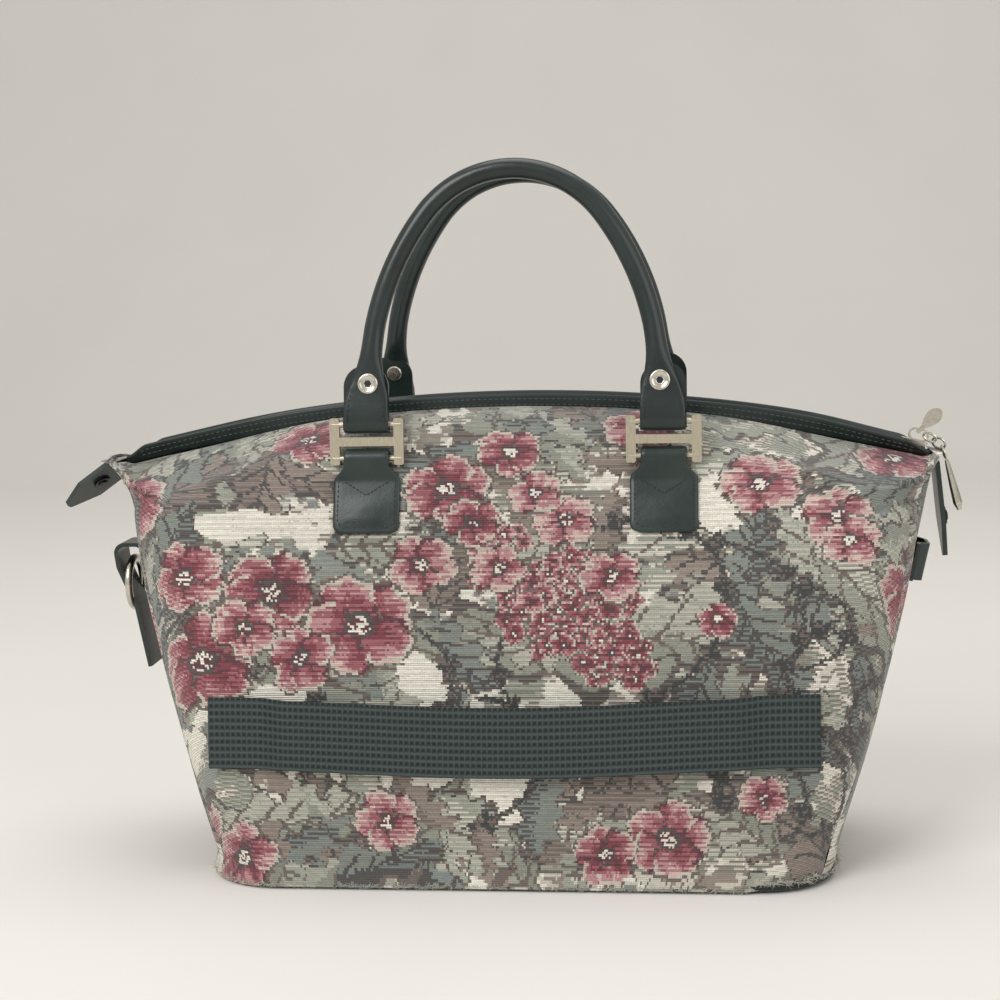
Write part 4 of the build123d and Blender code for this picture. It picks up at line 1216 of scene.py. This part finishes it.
def tabStitches(side, end, name):
    # a row round the sewn square with cut lower corners, and a vee below its top
    half, low, high = tab["half"] - tab["inset"], tab["bottom"] + tab["inset"], tab["shoulder"] - 0.5
    cut = tab["stitchCorner"]
    square = [(half, high), (-half, high), (-half, low + cut), (-half + cut, low), (half - cut, low),
              (half, low + cut), (half, high)]
    edge, headings = polyStitches(square, tab["stitchPitch"])
    veeHalf, veeTop = half - tab["veeInset"], high - tab["veeTop"]
    vee, veeHeadings = polyStitches([(-veeHalf, veeTop), (0, high - tab["veeTip"]), (veeHalf, veeTop)],
                                    tab["veePitch"])
    flat = np.concatenate([edge, vee])
    heading = np.concatenate([headings, veeHeadings])
    y = halfWidth(flat[:, 1])
    slope = (halfWidth(flat[:, 1] + 1) - halfWidth(flat[:, 1] - 1)) / 2
    outward = np.stack([np.zeros(len(y)), np.ones(len(y)), -slope], axis=-1)
    outward = unit(outward)
    places = np.stack([flat[:, 0] + end * tab["x"], y, flat[:, 1]], axis=-1) + outward * tab["skin"]
    along = np.stack([heading[:, 0], slope * heading[:, 1], heading[:, 1]], axis=-1)
    mirrorY = np.array([1, side, 1])
    shape = stitchShape(stitch["length"] * mm, stitch["width"] * mm, stitch["rise"] * mm)
    return repeatPiece(name + "TabStitches", shape, places * mirrorY * mm, along * mirrorY, outward * mirrorY,
                       sewingThread, "bag")


for side, face in ((-1, "rear"), (1, "front")):
    for end, endName in ((-1, "Left"), (1, "Right")):
        bodyTab(side, end, face + endName, face + "_" + endName.lower() + "_tab")
        tabStitches(side, end, face + endName)
print("body tabs made")


# side ring: a cast ring with a flat oval section, thicker than round wire
ring = {"radial": 2.8, "axial": 2.3, "around": 72, "section": 20}


def sideRing():
    # an oval section carried round an ellipse that fills the solid ring's box
    low, high = [np.array(c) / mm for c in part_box("left_side_ring")]
    middle, outer = (low + high) / 2, (high - low) / 2
    a = np.linspace(0, 2 * np.pi, ring["around"], endpoint=False)[:, None]
    b = np.linspace(0, 2 * np.pi, ring["section"], endpoint=False)[None, :]
    reach = ring["radial"] * np.cos(b) - ring["radial"]
    thick = ring["axial"] * np.sign(np.sin(b)) * np.abs(np.sin(b)) ** 0.7
    x = np.broadcast_to(middle[0] + thick, (ring["around"], ring["section"]))
    points = np.stack([x, (outer[1] + reach) * np.cos(a), middle[2] + (outer[2] + reach) * np.sin(a)],
                      axis=-1)
    points = np.concatenate([points, points[:1]])
    return gridPiece("castSideRing", points[:, ::-1] * mm, polished, "left_side_ring",
                     closeRound=True, replaces=["left_side_ring"])


# bar pull: a six-sided bar, widest below its middle, bevelled to a blunt tip
bar = {
    "inset": 1.4,
    # (share of the length, half width) from the top to the tip
    "profile": [(0, 0), (0, 1.0), (0.04, 1.3), (0.12, 1.6), (0.55, 2.5), (0.86, 2.9), (1, 1.3), (1, 0)],
}


def barPull():
    # the profile carried along the diagonal of the solid bar's box, with six flat sides
    low, high = [np.array(c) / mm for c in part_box("bar_pull")]
    top, tip = np.array([low[0] + bar["inset"], 0, high[2]]), np.array([high[0] - bar["inset"], 0, low[2]])
    axis = (tip - top) / np.linalg.norm(tip - top)
    share, half = np.array(bar["profile"], float).T[..., None]
    a = (np.arange(6) * np.pi / 3 + np.pi / 6)[None, :]
    across = np.cross([0.0, 1.0, 0.0], axis)
    spot = top + share[..., None] * (tip - top)
    level = (half * np.cos(a))[..., None] * np.array([0.0, 1.0, 0.0])
    points = spot + level + (half * np.sin(a))[..., None] * across
    piece = gridPiece("facetedBarPull", points[:, ::-1] * mm, polished, "bar_pull",
                      closeRound=True, replaces=["bar_pull"])
    piece.data.polygons.foreach_set("use_smooth", np.zeros(len(piece.data.polygons), bool))
    return piece


sideRing()
barPull()
print("ring and bar made")


# floor and light
def plainStage():
    # flat floor that sweeps up behind in a quarter circle to an upright backdrop
    turn = np.linspace(0, math.pi / 2, 24)
    bendRadius, back = 1.2, 1.9
    depth = np.concatenate([[-5.0, -2.5, 0.0], back + bendRadius * np.sin(turn), [back + bendRadius]])
    height = np.concatenate([[0.0, 0.0, 0.0], bendRadius * (1 - np.cos(turn)), [5.0]])
    across = np.linspace(-6, 6, 3)
    grid = np.stack(np.broadcast_arrays(across[None, :], depth[:, None], height[:, None]), axis=-1)
    index = np.arange(grid.shape[0] * 3).reshape(-1, 3)
    quads = np.stack([index[:-1, :-1], index[:-1, 1:], index[1:, 1:], index[1:, :-1]], axis=-1).reshape(-1, 4)
    mesh = bpy.data.meshes.new("floor")
    mesh.from_pydata(grid.reshape(-1, 3).tolist(), [], quads.tolist())
    mesh.polygons.foreach_set("use_smooth", np.ones(len(quads), bool))
    floor = bpy.data.objects.new("floor", mesh)
    bpy.context.scene.collection.objects.link(floor)
    material, tree, shader = startMaterial("palePaper", 0.9)
    noise = addNode(tree, "ShaderNodeTexNoise", {"Scale": 3.0},
                    {"Vector": addNode(tree, "ShaderNodeTexCoord").outputs["Object"]})
    color = rampColors(tree, noise.outputs["Fac"], [(0.3, "#ebe8e2"), (0.7, "#eeebe6")])
    tree.links.new(color, shader.inputs["Base Color"])
    mesh.materials.append(material)


def studioLight():
    # one broad soft key from the upper left, a fill from the right, and a pale even world
    lamps = [("key", (-1.2, -1.9, 1.9), 1.4, 38.0), ("fill", (1.9, -1.5, 1.1), 1.8, 13.0),
             ("top", (0.1, 0.3, 2.3), 1.6, 17.0)]  # name, place, size in metres, watts
    for name, place, size, power in lamps:
        data = bpy.data.lights.new(name, "AREA")
        data.size = size
        data.energy = power
        lamp = bpy.data.objects.new(name, data)
        lamp.location = place
        lamp.rotation_euler = (Vector((0, 0, 0.18)) - Vector(place)).to_track_quat("-Z", "Y").to_euler()
        bpy.context.scene.collection.objects.link(lamp)
    world = bpy.data.worlds.new("studio")
    bpy.context.scene.world = world
    world.use_nodes = True
    tree = world.node_tree
    background = tree.nodes["Background"]
    background.inputs["Color"].default_value = linearColor("#e8e6e2")
    path = addNode(tree, "ShaderNodeLightPath")
    seen = addNode(tree, "ShaderNodeMath", {"operation": "MAXIMUM"},
                   {0: path.outputs["Is Camera Ray"], 1: path.outputs["Is Glossy Ray"]})
    strength = addNode(tree, "ShaderNodeMapRange", {"To Min": 0.55, "To Max": 0.92},
                       {"Value": seen.outputs[0]})
    tree.links.new(strength.outputs["Result"], background.inputs["Strength"])


plainStage()
studioLight()
print("stage and light made")
